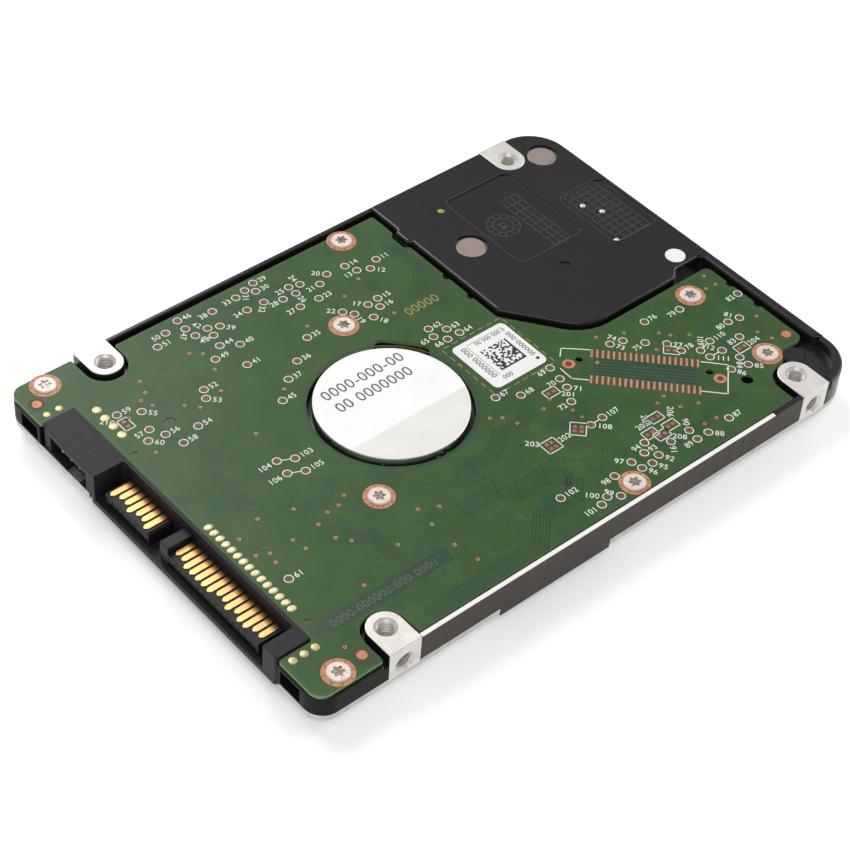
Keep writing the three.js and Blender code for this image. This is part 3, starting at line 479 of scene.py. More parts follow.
def revolve(profile, sides=64, x=0.0, y=0.0):
    """A solid turned about Z. Its (radius, z) points start and end on the axis or close on themselves."""
    work = bmesh.new()
    ends_on_axis = profile[0][0] == 0
    rings = []
    for radius, z in profile if ends_on_axis else profile[:-1]:
        if radius == 0:
            rings.append([work.verts.new((x, y, z))])
        else:
            rings.append([work.verts.new((px, py, z)) for px, py in circle(x, y, radius, sides)])
    pairs = list(zip(rings, rings[1:])) + ([] if ends_on_axis else [(rings[-1], rings[0])])
    for low, high in pairs:
        for k in range(sides):
            n = (k + 1) % sides
            quad = [low[k % len(low)], low[n % len(low)], high[n % len(high)], high[k % len(high)]]
            kept = list(dict.fromkeys(quad))
            if len(kept) > 2:
                work.faces.new(kept)
    bmesh.ops.recalc_face_normals(work, faces=work.faces)
    mesh = bpy.data.meshes.new("revolved")
    work.to_mesh(mesh)
    work.free()
    return mesh


def box(x0, x1, y0, y1, z0, z1):
    return plate(rectangle(x0, x1, y0, y1), z0, z1, edge=min(0.02, (z1 - z0) / 4))


def side_box(side, x0, x1, *rest):
    """A box at +X for side 1, and its mirror image at -X for side -1."""
    return box(*sorted((side * x0, side * x1)), *rest)


def round_plate(place, radius, z0, z1, sides=48, edge=0.06):
    return plate(circle(*place, radius, sides), z0, z1, edge=edge)


def turned_about_x(mesh, x, y, z, side):
    """Turns a mesh made along Z so that it lies along X, towards side, from (x, y, z)."""
    mesh.transform(Matrix.Translation((x, y, z)) @ Matrix.Rotation(side * math.pi / 2, 4, "Y"))
    return mesh


def combine(mode, first, *others):
    """Joins or cuts solids."""
    piece = as_object("whole", first)
    tools = [as_object("tool", mesh) for mesh in others]
    for tool in tools:
        step = piece.modifiers.new("step", "BOOLEAN")
        step.operation = mode
        step.solver = "MANIFOLD"
        step.object = tool
    graph = bpy.context.evaluated_depsgraph_get()
    mesh = bpy.data.meshes.new_from_object(piece.evaluated_get(graph))
    for used in (piece, *tools):
        bpy.data.objects.remove(used)
    return mesh


def union(first, *others):
    return combine("UNION", first, *others)


def carve(first, *others):
    return combine("DIFFERENCE", first, *others)


def finish_piece(name, meshes, material, body="base", slot=None, replaces=(), smooth=35):
    """Joins meshes made in millimetres into one named piece in metres, which rides on a body."""
    work = bmesh.new()
    for mesh in meshes if isinstance(meshes, (list, tuple)) else [meshes]:
        work.from_mesh(mesh)
    merged = bpy.data.meshes.new(name)
    work.to_mesh(merged)
    work.free()
    merged.transform(Matrix.Scale(MM, 4))
    piece = as_object(name, merged)
    merged.materials.clear()
    merged.materials.append(MATERIALS[material])
    merged.set_sharp_from_angle(angle=math.radians(smooth))
    for face in merged.polygons:
        face.use_smooth = max(abs(face.normal.x), abs(face.normal.y), abs(face.normal.z)) < 0.9995
    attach(piece, body)
    if replaces:
        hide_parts(*replaces)
    return piece


class Pile:
    """Many small thin solids gathered into one mesh."""

    def __init__(self):
        self.verts = []
        self.faces = []

    def prism(self, outline, z0, z1):
        count = len(outline)
        base = len(self.verts)
        self.verts += [(x, y, z0) for x, y in outline] + [(x, y, z1) for x, y in outline]
        self.faces.append(tuple(base + k for k in reversed(range(count))))
        self.faces.append(tuple(base + count + k for k in range(count)))
        for k in range(count):
            n = (k + 1) % count
            self.faces.append((base + k, base + n, base + count + n, base + count + k))

    def ring(self, x, y, inner, outer, z0, z1, sides=28):
        base = len(self.verts)
        for radius, z in ((inner, z0), (outer, z0), (outer, z1), (inner, z1)):
            self.verts += [(px, py, z) for px, py in circle(x, y, radius, sides)]
        for level in range(4):
            low, high = base + level * sides, base + ((level + 1) % 4) * sides
            for k in range(sides):
                n = (k + 1) % sides
                self.faces.append((low + k, low + n, high + n, high + k))

    def disc(self, x, y, radius, z0, z1, sides=24):
        self.prism(circle(x, y, radius, sides), z0, z1)

    def dome(self, x, y, across, along, z, height, sides=20):
        base = len(self.verts)
        levels = ((1.0, 0.0), (0.92, 0.55), (0.7, 0.85), (0.35, 1.0))
        for share, rise in levels:
            self.verts += [(x + share * across * a, y + share * along * b, z + rise * height)
                           for a, b in circle(0, 0, 1, sides)]
        for level in range(len(levels) - 1):
            for k in range(sides):
                n = (k + 1) % sides
                low, high = base + level * sides, base + (level + 1) * sides
                self.faces.append((low + k, low + n, high + n, high + k))
        self.faces.append(tuple(base + (len(levels) - 1) * sides + k for k in range(sides)))
        self.faces.append(tuple(base + k for k in reversed(range(sides))))

    def bar(self, x, y, length, width, turn, z0, z1):
        corners = ((-1, -1), (1, -1), (1, 1), (-1, 1))
        self.prism([placed(x, y, turn, a * length / 2, b * width / 2) for a, b in corners], z0, z1)

    def line(self, points, width, z0, z1):
        for (ax, ay), (bx, by) in zip(points, points[1:]):
            length = math.hypot(bx - ax, by - ay)
            turn = math.degrees(math.atan2(by - ay, bx - ax))
            self.bar((ax + bx) / 2, (ay + by) / 2, length + width * 0.7, width, turn, z0, z1)

    def text(self, words, x, y, size, turn, z0, z1):
        """Digits from Blender's own font, starting at x, y and reading along turn."""
        flat_verts, flat_faces = word_mesh(words)
        base, count = len(self.verts), len(flat_verts)
        for z in (z0, z1):
            self.verts += [(*placed(x, y, turn, size * a, size * b), z) for a, b in flat_verts]
        self.faces += [tuple(base + k for k in reversed(face)) for face in flat_faces]
        self.faces += [tuple(base + count + k for k in face) for face in flat_faces]
        edges = {}
        for face in flat_faces:
            for k, n in zip(face, face[1:] + face[:1]):
                if edges.pop((n, k), None) is None:
                    edges[(k, n)] = True
        self.faces += [(base + k, base + n, base + count + n, base + count + k) for k, n in edges]

    def mesh(self):
        mesh = bpy.data.meshes.new("pile")
        mesh.from_pydata(self.verts, [], self.faces)
        mesh.validate()
        return mesh


word_cache = {}


def word_mesh(words):
    """Flat vertices and faces of a string of digits, one unit high, centred on its height."""
    if words not in word_cache:
        curve = bpy.data.curves.new("word", "FONT")
        curve.body = words
        curve.size = 1.38
        curve.space_character = 1.05
        curve.resolution_u = 3
        curve.offset = 0.004
        holder = as_object("word", curve)
        graph = bpy.context.evaluated_depsgraph_get()
        mesh = bpy.data.meshes.new_from_object(holder.evaluated_get(graph))
        bpy.data.objects.remove(holder)
        work = bmesh.new()
        work.from_mesh(mesh)
        bmesh.ops.remove_doubles(work, verts=work.verts, dist=1e-4)
        verts = [(v.co.x, v.co.y - 0.5) for v in work.verts]
        work.verts.index_update()
        faces = []
        for f in work.faces:
            loop = [v.index for v in f.verts]
            faces.append(tuple(loop if f.normal.z >= 0 else reversed(loop)))
        work.free()
        word_cache[words] = (verts, faces)
    return word_cache[words]


# ------------------------------------------------------------------ outlines shared by the pieces
BOARD_RIGHT, BOARD_LEFT, TAB_X = 33.9, -33.4, BOARD_HIGH.x
NOTCH_R = 3.3


def case_outline(shrink=0.0):
    w, l = HALF_W - shrink, HALF_L - shrink
    return rounded([(-w, -l, 3), (w, -l, 3), (w, l, 6.5), (-w, l, 6.5)], 12)


def board_outline(grow=0.0, bites=True):
    """The board's edge, counter-clockwise from its left tab; grow widens it all round."""
    notch = HOLE_X - NOTCH_R + grow
    near, far = HOLE_NEAR_Y + NOTCH_R - grow, HOLE_FAR_Y - NOTCH_R + grow
    plug, front = PLUG_HALF + 0.2 - grow, BOARD_LOW.y - grow
    back, tab = PLUG_BACK + 0.1 - grow, -39.4 + grow
    left_end = 14.9 + grow
    arc = NOTCH_R - grow
    corners = [
        (-TAB_X - grow, front, 2), (-plug, front, 0.4), (-plug, back, 0.5), (plug, back, 0.5),
        (plug, front, 0.4), (TAB_X + grow, front, 2), (TAB_X + grow, tab, 0.4), (notch, tab, arc),
        (notch, near, arc), (BOARD_RIGHT + grow, near, 0.4), (BOARD_RIGHT + grow, far, 0.4),
        (notch + 0.1, far, arc), (notch + 0.1, 41.4 + grow, 0.6), (25.75 + grow, 43.4 + grow, 0.6),
        (25.75 + grow, BOARD_HIGH.y + grow, 1.3),
    ]
    for x in (16.5, 10.8) if bites else ():
        corners += bite(x, BOARD_HIGH.y + grow, -1)
    corners += [(6.0 - grow, BOARD_HIGH.y + grow, 1), (6.0 - grow, 23.1 + grow, 8),
                (-4.9 - grow, left_end, 1.5)]
    for x in (-10.6, -16.1) if bites else ():
        corners += bite(x, left_end, -1)
    if bites:
        step = left_end - 0.8
        corners += [(-24.4, left_end, 0.3), (-25.0, step, 0.5), (-28.0, step, 0.5), (-28.6, left_end, 0.3)]
    corners += [(BOARD_LEFT - grow, left_end, 0.5), (BOARD_LEFT - grow, near, 0.4), (-notch, near, arc),
                (-notch, tab, arc), (-TAB_X - grow, tab, 0.4)]
    return rounded(corners)


def bite(x, y, way):
    """A small round nick where the board was broken out of its panel, seen going towards -X."""
    deep = y + way * 0.55
    return [(x + 0.75, y, 0.15), (x + 0.45, deep, 0.3), (x - 0.45, deep, 0.3), (x - 0.75, y, 0.15)]


def chamber_outlines(grow):
    return [
        circle(SPINDLE.x, SPINDLE.y, 33.2 + grow, 128),
        rectangle(-32.6 - grow, 32.6 + grow, 15.6 - grow, 36.4 + grow, 1.5 + grow),
        rectangle(-26.9 - grow, 26.9 + grow, 30, 47.2 + grow, 2 + grow),
    ]


def chamber(grow, z0, z1, edge=0.02):
    return union(*(plate(loop, z0, z1, edge=edge) for loop in chamber_outlines(grow)))


BOSSES = [(-1, HOLE_NEAR_Y), (1, HOLE_NEAR_Y), (-1, HOLE_FAR_Y), (1, HOLE_FAR_Y)]


def screw_places(kind, count):
    """The centres of a set of CAD screws, seen from above."""
    spans = [span(f"{kind}_{k + 1}") for k in range(count)]
    return [((low.x + high.x) / 2, (low.y + high.y) / 2) for low, high in spans]


BOARD_SCREWS = screw_places("board_screw", 8)
COVER_SCREWS = screw_places("cover_screw", 6)


# ------------------------------------------------------------------ casting
SHELF_TOP = 5.2
PLUG_ROOM = PLUG_HALF + 0.3
WAIST = (-19.6, 0.2)
PAINT_DOT = (-27.7, 23.8)
DECK_RECESSES = [(-29.0, -11.0, 25.3, 38.1), (-19.1, -5.9, 40.0, 49.2)]
SIDE_PITS = [(27.0, 3.4), (11.8, 2.9), (-12.0, 3.1), (25.6, 5.6)]


def thread_tool(depth_low, mouth, radius=1.5, pitch=0.5):
    """A threaded hole's cutter along Z: a ridged shaft with a countersunk mouth."""
    profile = [(0, depth_low), (radius - 0.28, depth_low)]
    z = depth_low
    while z < mouth - 0.35 - pitch:
        profile += [(radius - 0.28, z + pitch * 0.15), (radius, z + pitch * 0.5),
                    (radius - 0.28, z + pitch * 0.85)]
        z += pitch
    flare = radius + 0.12
    profile += [(radius - 0.1, mouth - 0.3), (flare, mouth + 0.02), (flare, mouth + 1), (0, mouth + 1)]
    return revolve(profile, 40)


def boss_outline(side, y, grow=0.0, edge_x=HALF_W, corner=0.1):
    """A screw boss seen from above: round towards the middle, square at the side wall."""
    inner, outer, inner_r = side * (HOLE_X - BOSS_R - grow), side * edge_x, BOSS_R - 0.05
    near, far = y - BOSS_R - grow, y + BOSS_R + grow
    corners = [(inner, near, inner_r), (outer, near, corner), (outer, far, corner), (inner, far, inner_r)]
    return rounded(corners if side > 0 else corners[::-1], 10)


def boss_mesh(side, y):
    body = plate(boss_outline(side, y), WALL_FOOT + 0.02, TOP, edge=0.12, steps=3)
    down = thread_tool(4.6, TOP)
    down.transform(Matrix.Translation((side * HOLE_X, y, 0)))
    across = turned_about_x(thread_tool(-2.4, 0), side * HALF_W, y, TOP - 3, side)
    return carve(body, down, across)


def deck_outline():
    return rounded([
        (-HALF_W, 15.5, 0.6), (-28.4, 15.5, 0.3), (-27.9, 14.9, 0.5), (-25.3, 14.9, 0.5), (-24.8, 15.5, 0.3),
        (-5.6, 15.5, 1.5), (5.3, 23.8, 7), (5.3, 41.8, 1.2), (3.9, 43.3, 1.0), (3.9, 48.5, 0.8),
        (26.6, 48.5, 0.6), (28.2, HALF_L, 0.3), (-HALF_W, HALF_L, 6.5),
    ], 10)


def corner_lip():
    """The thin wall round the lowered corner."""
    ring = plate(case_outline(), FLOOR_UNDER, TOP - 0.3, edge=0.25, steps=4)
    corner = box(27.6, HALF_W + 1, 43.9, HALF_L + 1, FLOOR_UNDER - 1, TOP)
    inside = rounded([(20, 36, 0), (33.7, 36, 0), (33.7, 48.9, 5.4), (20, 48.9, 0)], 12)
    return carve(combine("INTERSECT", ring, corner), plate(inside, SHELF_TOP, OVER))


def casting_solids():
    """The floor, deck, walls and pillars that are joined into one shell."""
    shelf = rounded([(26.0, 43.6, 0.5), (HALF_W, 42.6, 0.1), (HALF_W, HALF_L, 6.5), (26.0, HALF_L, 0.2)], 10)
    front = rounded([(-HALF_W, -HALF_L, 3), (HALF_W, -HALF_L, 3), (HALF_W, -39.6, 0.3),
                     (-HALF_W, -39.6, 0.3)])
    shoulder, seat = BOARD_LOW.z - 0.1, BOARD_LOW.z - 0.02
    pillar = [(0, 4.4), (2.2, 4.4), (2.2, shoulder), (2.1, seat), (0, seat)]
    return [
        plate(case_outline(), WALL_FOOT, FLOOR_TOP, edge=0.12),
        plate(deck_outline(), FLOOR_UNDER, DECK, edge=0.42, steps=4),
        plate(rectangle(34.02, HALF_W, -36, 43.6, 0.1), FLOOR_UNDER, DECK, edge=0.06),
        plate(rectangle(-HALF_W, -34.15, -36, 16.5, 0.3), FLOOR_UNDER, DECK - 0.15, edge=0.22, steps=3),
        plate(shelf, FLOOR_UNDER, SHELF_TOP, edge=0.1),
        corner_lip(),
        revolve([(0, 5), (1.75, 5), (1.75, 6.3), (1.45, 6.6), (0, 6.6)], 40, 27.6, 43.8),
        plate(front, FLOOR_UNDER, BOARD_LOW.z - 0.06, edge=0.1),
        *(revolve(pillar, 32, x, y) for x, y in BOARD_SCREWS),
        *(side_box(side, 33.95, HALF_W, *WAIST, 1.0, WALL_FOOT + 0.4) for side in (-1, 1)),
    ]


def casting_cutters():
    """What is cut out of the shell: the chamber, the plug's room, seats, recesses and boss sockets."""
    arm_bay = rounded([(-32.6, 17.2, 1.5), (-5.6, 17.2, 1), (3.6, 24.3, 3), (3.6, 46.8, 1.5),
                       (-26.9, 46.8, 1.5),
                       (-26.9, 36.4, 0.6), (-32.6, 36.4, 1.5)])
    flange_room = carve(
        plate(case_outline(-1), 0, FOOT_TOP + 0.01, edge=0.01),
        plate(case_outline(0.06), UNDER, OVER, edge=0.01),
        box(-HALF_W - 2, HALF_W + 2, *WAIST, UNDER, OVER),
    )
    paint_seat = [(0, DECK - 0.18), (0.65, DECK - 0.18), (0.75, OVER), (0, OVER)]
    pit = [(0, -0.3), (0.13, -0.3), (0.16, 0.2), (0, 0.2)]
    return [
        chamber(0, 0, FLOOR_UNDER),
        chamber(0.85, 0, WALL_FOOT + 0.4),
        flange_room,
        plate(arm_bay, FLOOR_UNDER - 1, DECK_UNDER),
        box(-PLUG_ROOM, PLUG_ROOM, -HALF_L - 1, PLUG_BACK + 0.2, 0, OVER),
        round_plate(SPINDLE, MOTOR_R - 0.25, 0, OVER, 96),
        *(plate(rectangle(*recess, 1.2), DECK - 0.22, OVER, edge=0.1) for recess in DECK_RECESSES),
        *(round_plate(place, 2.55, DECK - 0.42, OVER, 64, 0.08) for place in (PIVOT, SERVO_SEAL)),
        round_plate((-6.7, 30.1), 1.1, DECK - 0.2, OVER, 48, 0.02),
        revolve(paint_seat, 24, *PAINT_DOT),
        *(side_box(side, PLUG_ROOM + 0.6, 31.0, -HALF_L - 1, -46.6, 2.8, 5.2) for side in (-1, 1)),
        *(plate(boss_outline(side, y, 0.02, 40, 0), 0, OVER, edge=0.02) for side, y in BOSSES),
        *(turned_about_x(revolve(pit, 16), HALF_W, y, z, 1) for y, z in SIDE_PITS),
    ]


def casting_piece(name, meshes, material, **more):
    return finish_piece(name, meshes, material, slot="casting", **more)


def make_shell():
    """The coated shell, with its own look on the long side walls and round the plug."""
    shell = casting_piece("casting_shell", carve(union(*casting_solids()), *casting_cutters()), "casting",
                          replaces=["base_casting"])
    shell.data.materials.append(MATERIALS["side_wall"])
    shell.data.materials.append(MATERIALS["casting_side"])
    for face in shell.data.polygons:
        centre = face.center / MM
        on_side = abs(face.normal.x) > 0.9 and abs(centre.x) > HALF_W - 0.05
        if on_side and -39 < centre.y < 43.4:
            face.material_index = 1
        elif abs(face.normal.z) < 0.3 and centre.y < -40:
            face.material_index = 2


def make_bosses():
    """The four bosses: bare on top, on the side face and in the threads, coated round the rest."""
    bosses = casting_piece("casting_bosses", [boss_mesh(*boss) for boss in BOSSES], "bare", smooth=25)
    bosses.data.materials.append(MATERIALS["casting"])
    for face in bosses.data.polygons:
        centre = face.center / MM
        off_centre = min(abs(centre.y - y) for side, y in BOSSES)
        outside = math.hypot(abs(centre.x) - HOLE_X, off_centre) > BOSS_R - 0.3
        flank = off_centre > 2.4 or abs(centre.x) < HOLE_X
        if outside and flank and centre.z < TOP - 0.14 and abs(centre.x) < HALF_W - 0.14:
            face.material_index = 1


def make_casting():
    make_shell()
    foot = carve(
        plate(case_outline(0.0), WALL_FOOT + 0.02, FOOT_TOP, edge=0.02),
        plate(case_outline(0.05), 0, OVER, edge=0.02),
        box(-14.8, 26.9, -HALF_L - 1, PLUG_BACK, 0, OVER),
        box(-HALF_W - 1, HALF_W + 1, WAIST[0] - 0.1, WAIST[1] + 0.1, 0, OVER),
        *(side_box(side, 31, 36, y - BOSS_R - 0.03, y + BOSS_R + 0.03, 0, OVER) for side, y in BOSSES),
    )
    casting_piece("casting_bare_foot", foot, "cover")
    make_bosses()
    rim = plate(rectangle(34.3, HALF_W, -33.4, 32.0, 0.1), DECK - 0.02, DECK + 0.05, edge=0.02)
    casting_piece("casting_bare_rim", rim, "rim")


MARK_LOW, MARK_HIGH = DECK - 0.225, DECK - 0.17


def grid(pile, across, along):
    """Raised lines through a list of x places and a list of y places."""
    for x in across:
        pile.line([(x, along[0]), (x, along[-1])], 0.13, MARK_LOW, MARK_HIGH)
    for y in along:
        pile.line([(across[0], y), (across[-1], y)], 0.13, MARK_LOW, MARK_HIGH)


def date_wheel(pile, x, y):
    pile.ring(x, y, 1.55, 1.68, MARK_LOW, MARK_HIGH, 40)
    pile.ring(x, y, 2.55, 2.68, MARK_LOW, MARK_HIGH, 48)
    for k in range(12):
        angle = 2 * math.pi * k / 12
        pile.line([around(x, y, 1.6, angle), around(x, y, 2.6, angle)], 0.12, MARK_LOW, MARK_HIGH)
    pile.text("16", x - 0.95, y, 1.3, 0, MARK_LOW, MARK_HIGH)


def make_deck_marks():
    raised, recess_edge_highlight, dots, paint = Pile(), Pile(), Pile(), Pile()
    grid(raised, [-24 + 1.81 * k for k in range(8)], [32.5, 33.57, 34.63, 35.7])
    grid(raised, [-18.8 + 1.26 * k for k in range(11)], [41.2 + 1.3 * k for k in range(6)])
    date_wheel(raised, -19.4, 29.2)
    # the raised grids and date wheel take the lighter casting colour: painted highlight where they catch
    # light
    casting_piece("deck_raised_marks", raised.mesh(), "painted_highlight_casting")
    # thin strips in the lighter casting colour along every recess edge but the far one: painted highlight
    # for the lit recess walls
    for x0, x1, y0, y1 in DECK_RECESSES:
        loop = rounded([(x0, y1, 1.3), (x0, y0, 1.3), (x1, y0, 1.3), (x1, y1, 1.3)], 8)
        recess_edge_highlight.line(loop[4:-4], 0.1, DECK - 0.02, DECK + 0.03)
    casting_piece("deck_recess_edge_highlights", recess_edge_highlight.mesh(), "painted_highlight_casting")
    for x, y in ((-15.6, 42.3), (-12.8, 43.8), (-6.5, 40.8)):
        dots.dome(x, y, 0.45, 0.45, MARK_LOW, 0.12)
    casting_piece("deck_bare_dots", dots.mesh(), "bare")
    paint.dome(*PAINT_DOT, 0.62, 0.62, DECK - 0.18, 0.1)
    casting_piece("inspection_paint_dot", paint.mesh(), "green_paint")


def make_seals():
    low = DECK - 0.4
    foil_profile = [(0, low), (2.28, low), (2.3, low + 0.06), (2.2, low + 0.1), (0, low + 0.1)]
    for name, place in (("pivot_seal", PIVOT), ("servo_seal", SERVO_SEAL)):
        disc = revolve(foil_profile, 64, *place)
        finish_piece(name + "_foil", disc, "foil", slot="foil", replaces=[name])
    paper_profile = [(0, DECK), (1.55, DECK), (1.55, DECK + 0.06), (1.48, DECK + 0.09), (0, DECK + 0.09)]
    finish_piece("breather_seal_disc", revolve(paper_profile, 48, *WHITE_SEAL), "white_label",
                 slot="seal_paper",
                 replaces=["breather_seal"])


# ------------------------------------------------------------------ board
SKIN = BOARD_HIGH.z
PRINT_LOW, PRINT_HIGH = SKIN - 0.004, SKIN + 0.014
NUMBER_SIZE = 0.98
TEST_POINTS = [
    (-25.4, 9), (-24.3, 7), (-25.2, 5.1), (-27, 4.3), (-18.5, 3.6), (-16.9, 2.7), (-18.3, 1.6), (-15.7, 0.5),
    (-17.9, -1.3), (-27.2, 1), (-26.1, -1.2), (-19.3, -2.4), (-23.7, -3.3), (-27.8, -3.6), (-28.3, -5.3),
    (-26.6, -5.3), (-23.9, -6.6), (-26.7, -7.6), (-32.2, -8.9), (-30.5, -9.7), (-31.6, -10.9), (-27.9,
                                                                                                -10.2),
    (-31.1, -12.9), (-28, -13.2), (-18.1, -9.9), (-15.1, -14.1), (-12.9, -17.4), (-30.8, -17.4), (-27.6,
                                                                                                  -18.4),
    (-22.8, -18.4), (-18.8, -20.2), (-28.3, -20.1), (-26.6, -20.3), (-24.3, -20.9), (-10, -20.7), (-32.2,
                                                                                                   -22.6),
    (-30.1, -22.7), (-28.1, -22.4), (-22.4, -23.1), (-31.1, -25.5), (-29.4, -28.1), (-18.4, -28.1),
    (-16.8, -28.9), (-13.1, -33), (-20.1, -37.5), (-14.5, -37.5), (-16.6, -38.7), (-11.7, -36.5), (-21.6,
                                                                                                   -40.6),
    (-14.9, -40.1), (16.5, -40.4), (-8.9, 5.2), (-7.3, 7.3), (-5.6, 8.3), (-7.2, 4.7), (-5.6, 6), (7.7, 3.4),
    (9.5, 6.6), (7.9, 13.7), (10.4, 13.3), (12.3, 12.9), (14.8, 11.4), (9.5, 24.1), (10.1, 26.1), (12.4,
                                                                                                   28.4),
    (9.1, 31.5), (14.5, 30.8), (16.8, 31.4), (10.3, 37.6), (16.6, 41.4), (17, 43.4), (13.1, 47.1), (19.9,
                                                                                                    40.4),
    (23, 37.2), (24.8, 37.1), (24, 34.4), (30.8, 26.9), (31, 22.5), (31, 20.3), (29.1, 20.6), (29.1, 17),
    (29.9, 13.8), (28.4, 12.5), (27, 13.9), (30.5, 12), (30.3, 10.2), (28.6, 9.8), (29.1, 6.1), (32.3, 4.2),
    (31.3, 2.6), (31.9, 1), (27.6, -2.6),
]
LINKED_POINTS = [
    ((-0.1, -26.3), (-1.2, -28.6)), ((2.6, -26.6), (1.5, -28.9)), ((19.8, 12.7), (19.9, 10.4)),
    ((18.5, 33.7), (17.9, 36.2)), ((20.3, 33.8), (20.4, 36.2)),
]
VIAS = [
    (-23.6, 4.1), (-14.6, 3.5), (-21.8, 0), (-20, -8.4), (-11.7, -19.1), (-16.8, -26.3), (-7.1, -27.6),
    (-24.4, -23.8), (-20.8, -24.4), (-25.6, -25.3), (-15.9, -30.6), (-17.5, -32.1), (-25.2, -34.2), (-22.9,
                                                                                                     -34.9),
    (-20.2, -35.6), (-21.9, -36.3), (-20.1, -39.6), (-12.5, -40.6), (11.3, 1.5), (13.4, 2.4), (10.3, 0),
    (18.7, -16.6), (17.3, -19.2), (20.6, -19.5), (25.2, -19.5), (29, -18.8), (20.6, -25.4), (9.3, -25.4),
    (10.3, -27.1), (10.4, -29.1), (16.3, -29.8), (14.6, -31.1), (11.4, -31.4), (7.2, -32.3), (23.3, -33.4),
    (13.7, -35.4), (11.5, -35.8), (5.7, -37.2), (11.5, -39.6), (13.2, -40), (7.1, -41.3), (10.7, -41.3),
    (29.8, -41.9), (12.6, 9.3), (16.2, 10.4), (18, 10.5), (13.5, 7.3), (26, 25.6), (25, 23), (29.7, 25.5),
    (29.5, 23.3), (22.5, 20.9), (22, 22.6), (11.2, 19.9), (14.5, 28.7), (12.1, 31.5), (13.5, 32.5), (9,
                                                                                                     27.4),
    (7.2, 23.5), (15.1, 34.8), (7.2, 45.9), (9.6, 45.9), (9.4, 44.1), (18.3, 45.7), (20.8, 43.3), (23, 44),
]
BIG_HOLES = [(-16.1, -35.6, 0.95), (26.8, 34.8, 1.0), (-14, -43, 0.55), (23.6, -43, 0.6), (22.4, 31.6, 0.65),
             (9.0, 18.4, 0.65)]
RED_HOLES = [(24.4, 31.7), (8.9, 16.4)]
FIDUCIALS = [(-30, -48.1), (32.1, -41), (23.7, 46.3)]
RESISTORS = [
    (11.7, 10.4, 90, 1), (19.4, 8.4, 45, 2), (19.5, 3.2, 0, 2), (21.7, 39, 90, 1), (24.4, 18.6, 90, 1),
    (26.7, 19.3, 90, 1), (26.2, 15.8, 90, 1), (27.4, 17.0, 90, 1), (15.9, 30.3, 45, 1), (-19.4, -40.6, 0, 1),
]
ROW_A = ((9.3, 20.6), (20.2, 31.4))
ROW_B = ((13.2, 16.8), (24.4, 27.6))
ROW_PADS = 20


HEADER_FRAME = [
    [(8.6, 20.9), (5.8, 17.8), (7.0, 16.5)],
    [(8.9, 14.8), (11.4, 14.7), (13.1, 16.4)],
    [(20.2, 32.0), (23.1, 34.7), (27.3, 30.3), (24.6, 27.7)],
]


def board_piece(name, pile, material):
    """A pile of thin marks on the board's top side."""
    finish_piece(name, pile.mesh(), material, slot="board_green")


def between(a, b, share):
    return a[0] + (b[0] - a[0]) * share, a[1] + (b[1] - a[1]) * share


def board_mesh():
    motor = rounded([(-11.9, -2.2, 1.2), (-6.3, 3.1, 1.2), (-4.5, 1.7, 0.3), (-10.6, -4.0, 0.3)])
    holes = [circle(x, y, 0.85, 24) for x, y in BOARD_SCREWS] + [circle(x, y, r, 28) for x, y,
                                                                 r in BIG_HOLES]
    sheet = plate(board_outline(), BOARD_LOW.z, SKIN, holes, edge=0.03)
    round_hole = plate(circle(SPINDLE.x, SPINDLE.y, 11.9, 96), 5, 7)
    return carve(sheet, round_hole, plate(motor, 5, 7))


def make_board():
    sheet = finish_piece("board_sheet", board_mesh(), "board", slot="board_green",
                         replaces=["circuit_board"])
    sheet.data.materials.append(MATERIALS["board_rim"])
    for face in sheet.data.polygons:
        if abs(face.normal.z) < 0.98:
            face.material_index = 1


def scatter(seed, count, zones, spread=0.9):
    """Seeded random places inside rectangular zones, kept apart from each other."""
    chance = random.Random(seed)
    places = []
    tries = 0
    while len(places) < count and tries < count * 30:
        tries += 1
        x0, x1, y0, y1 = chance.choice(zones)
        place = (chance.uniform(x0, x1), chance.uniform(y0, y1))
        if all(math.dist(place, other) > spread for other in places):
            places.append(place)
    return places


def bus(pile, start, runs, count, pitch, width, low, high):
    """Parallel traces side by side: each run is (direction in degrees, length)."""
    turns = [turn for turn, length in runs]
    spine = [start]
    for turn, length in runs:
        spine.append(placed(*spine[-1], turn, length))
    for k in range(count):
        points = []
        for i, (x, y) in enumerate(spine):
            before = math.radians(turns[max(i - 1, 0)])
            after = math.radians(turns[min(i, len(turns) - 1)])
            middle = (before + after) / 2
            reach = k * pitch / math.cos((after - before) / 2)
            points.append((x - reach * math.sin(middle), y + reach * math.cos(middle)))
        pile.line(points, width, low, high)


BUSES = [
    ((11.0, 5.5), [(-60, 3), (-90, 4), (-60, 4), (-90, 4)], 6, 0.42, 0.17),
    ((33.2, -30), [(90, 20), (135, 5), (90, 6), (135, 4)], 6, 0.45, 0.18),
    ((22.5, -15), [(90, 6), (45, 3), (90, 5), (45, 3)], 9, 0.36, 0.15),
    ((14.6, 15.0), [(-90, 3), (-45, 3), (-90, 3)], 6, 0.4, 0.14),
    ((5.6, -24), [(-90, 2), (-45, 3), (-90, 4)], 5, 0.38, 0.13),
    ((22.5, -26), [(180, 5), (-135, 3), (180, 3)], 6, 0.4, 0.15),
    ((-30.5, -26), [(90, 9), (45, 3), (90, 8), (45, 4)], 4, 0.45, 0.16),
    ((-27.0, 12.0), [(0, 7), (-45, 3), (0, 6)], 5, 0.42, 0.15),
    ((27.4, 31.5), [(-90, 7), (-45, 2), (-90, 6), (-135, 3)], 4, 0.42, 0.15),
    ((10.5, 44.6), [(0, 6), (-45, 2.5), (0, 4)], 5, 0.4, 0.14),
    ((3.0, -36), [(180, 8), (135, 3), (180, 5)], 5, 0.42, 0.15),
]


DOT_ZONES = [(8, 26, -24, -8), (13, 32, -32, -6), (2, 12, -42, -30), (-31, -16, -32, -8), (14, 30, -4, 12),
             (-30, -12, 6, 13), (7, 24, 30, 46), (20, 32, -34, -22)]
TRACE_LOW, TRACE_HIGH = SKIN - 0.002, SKIN + 0.006


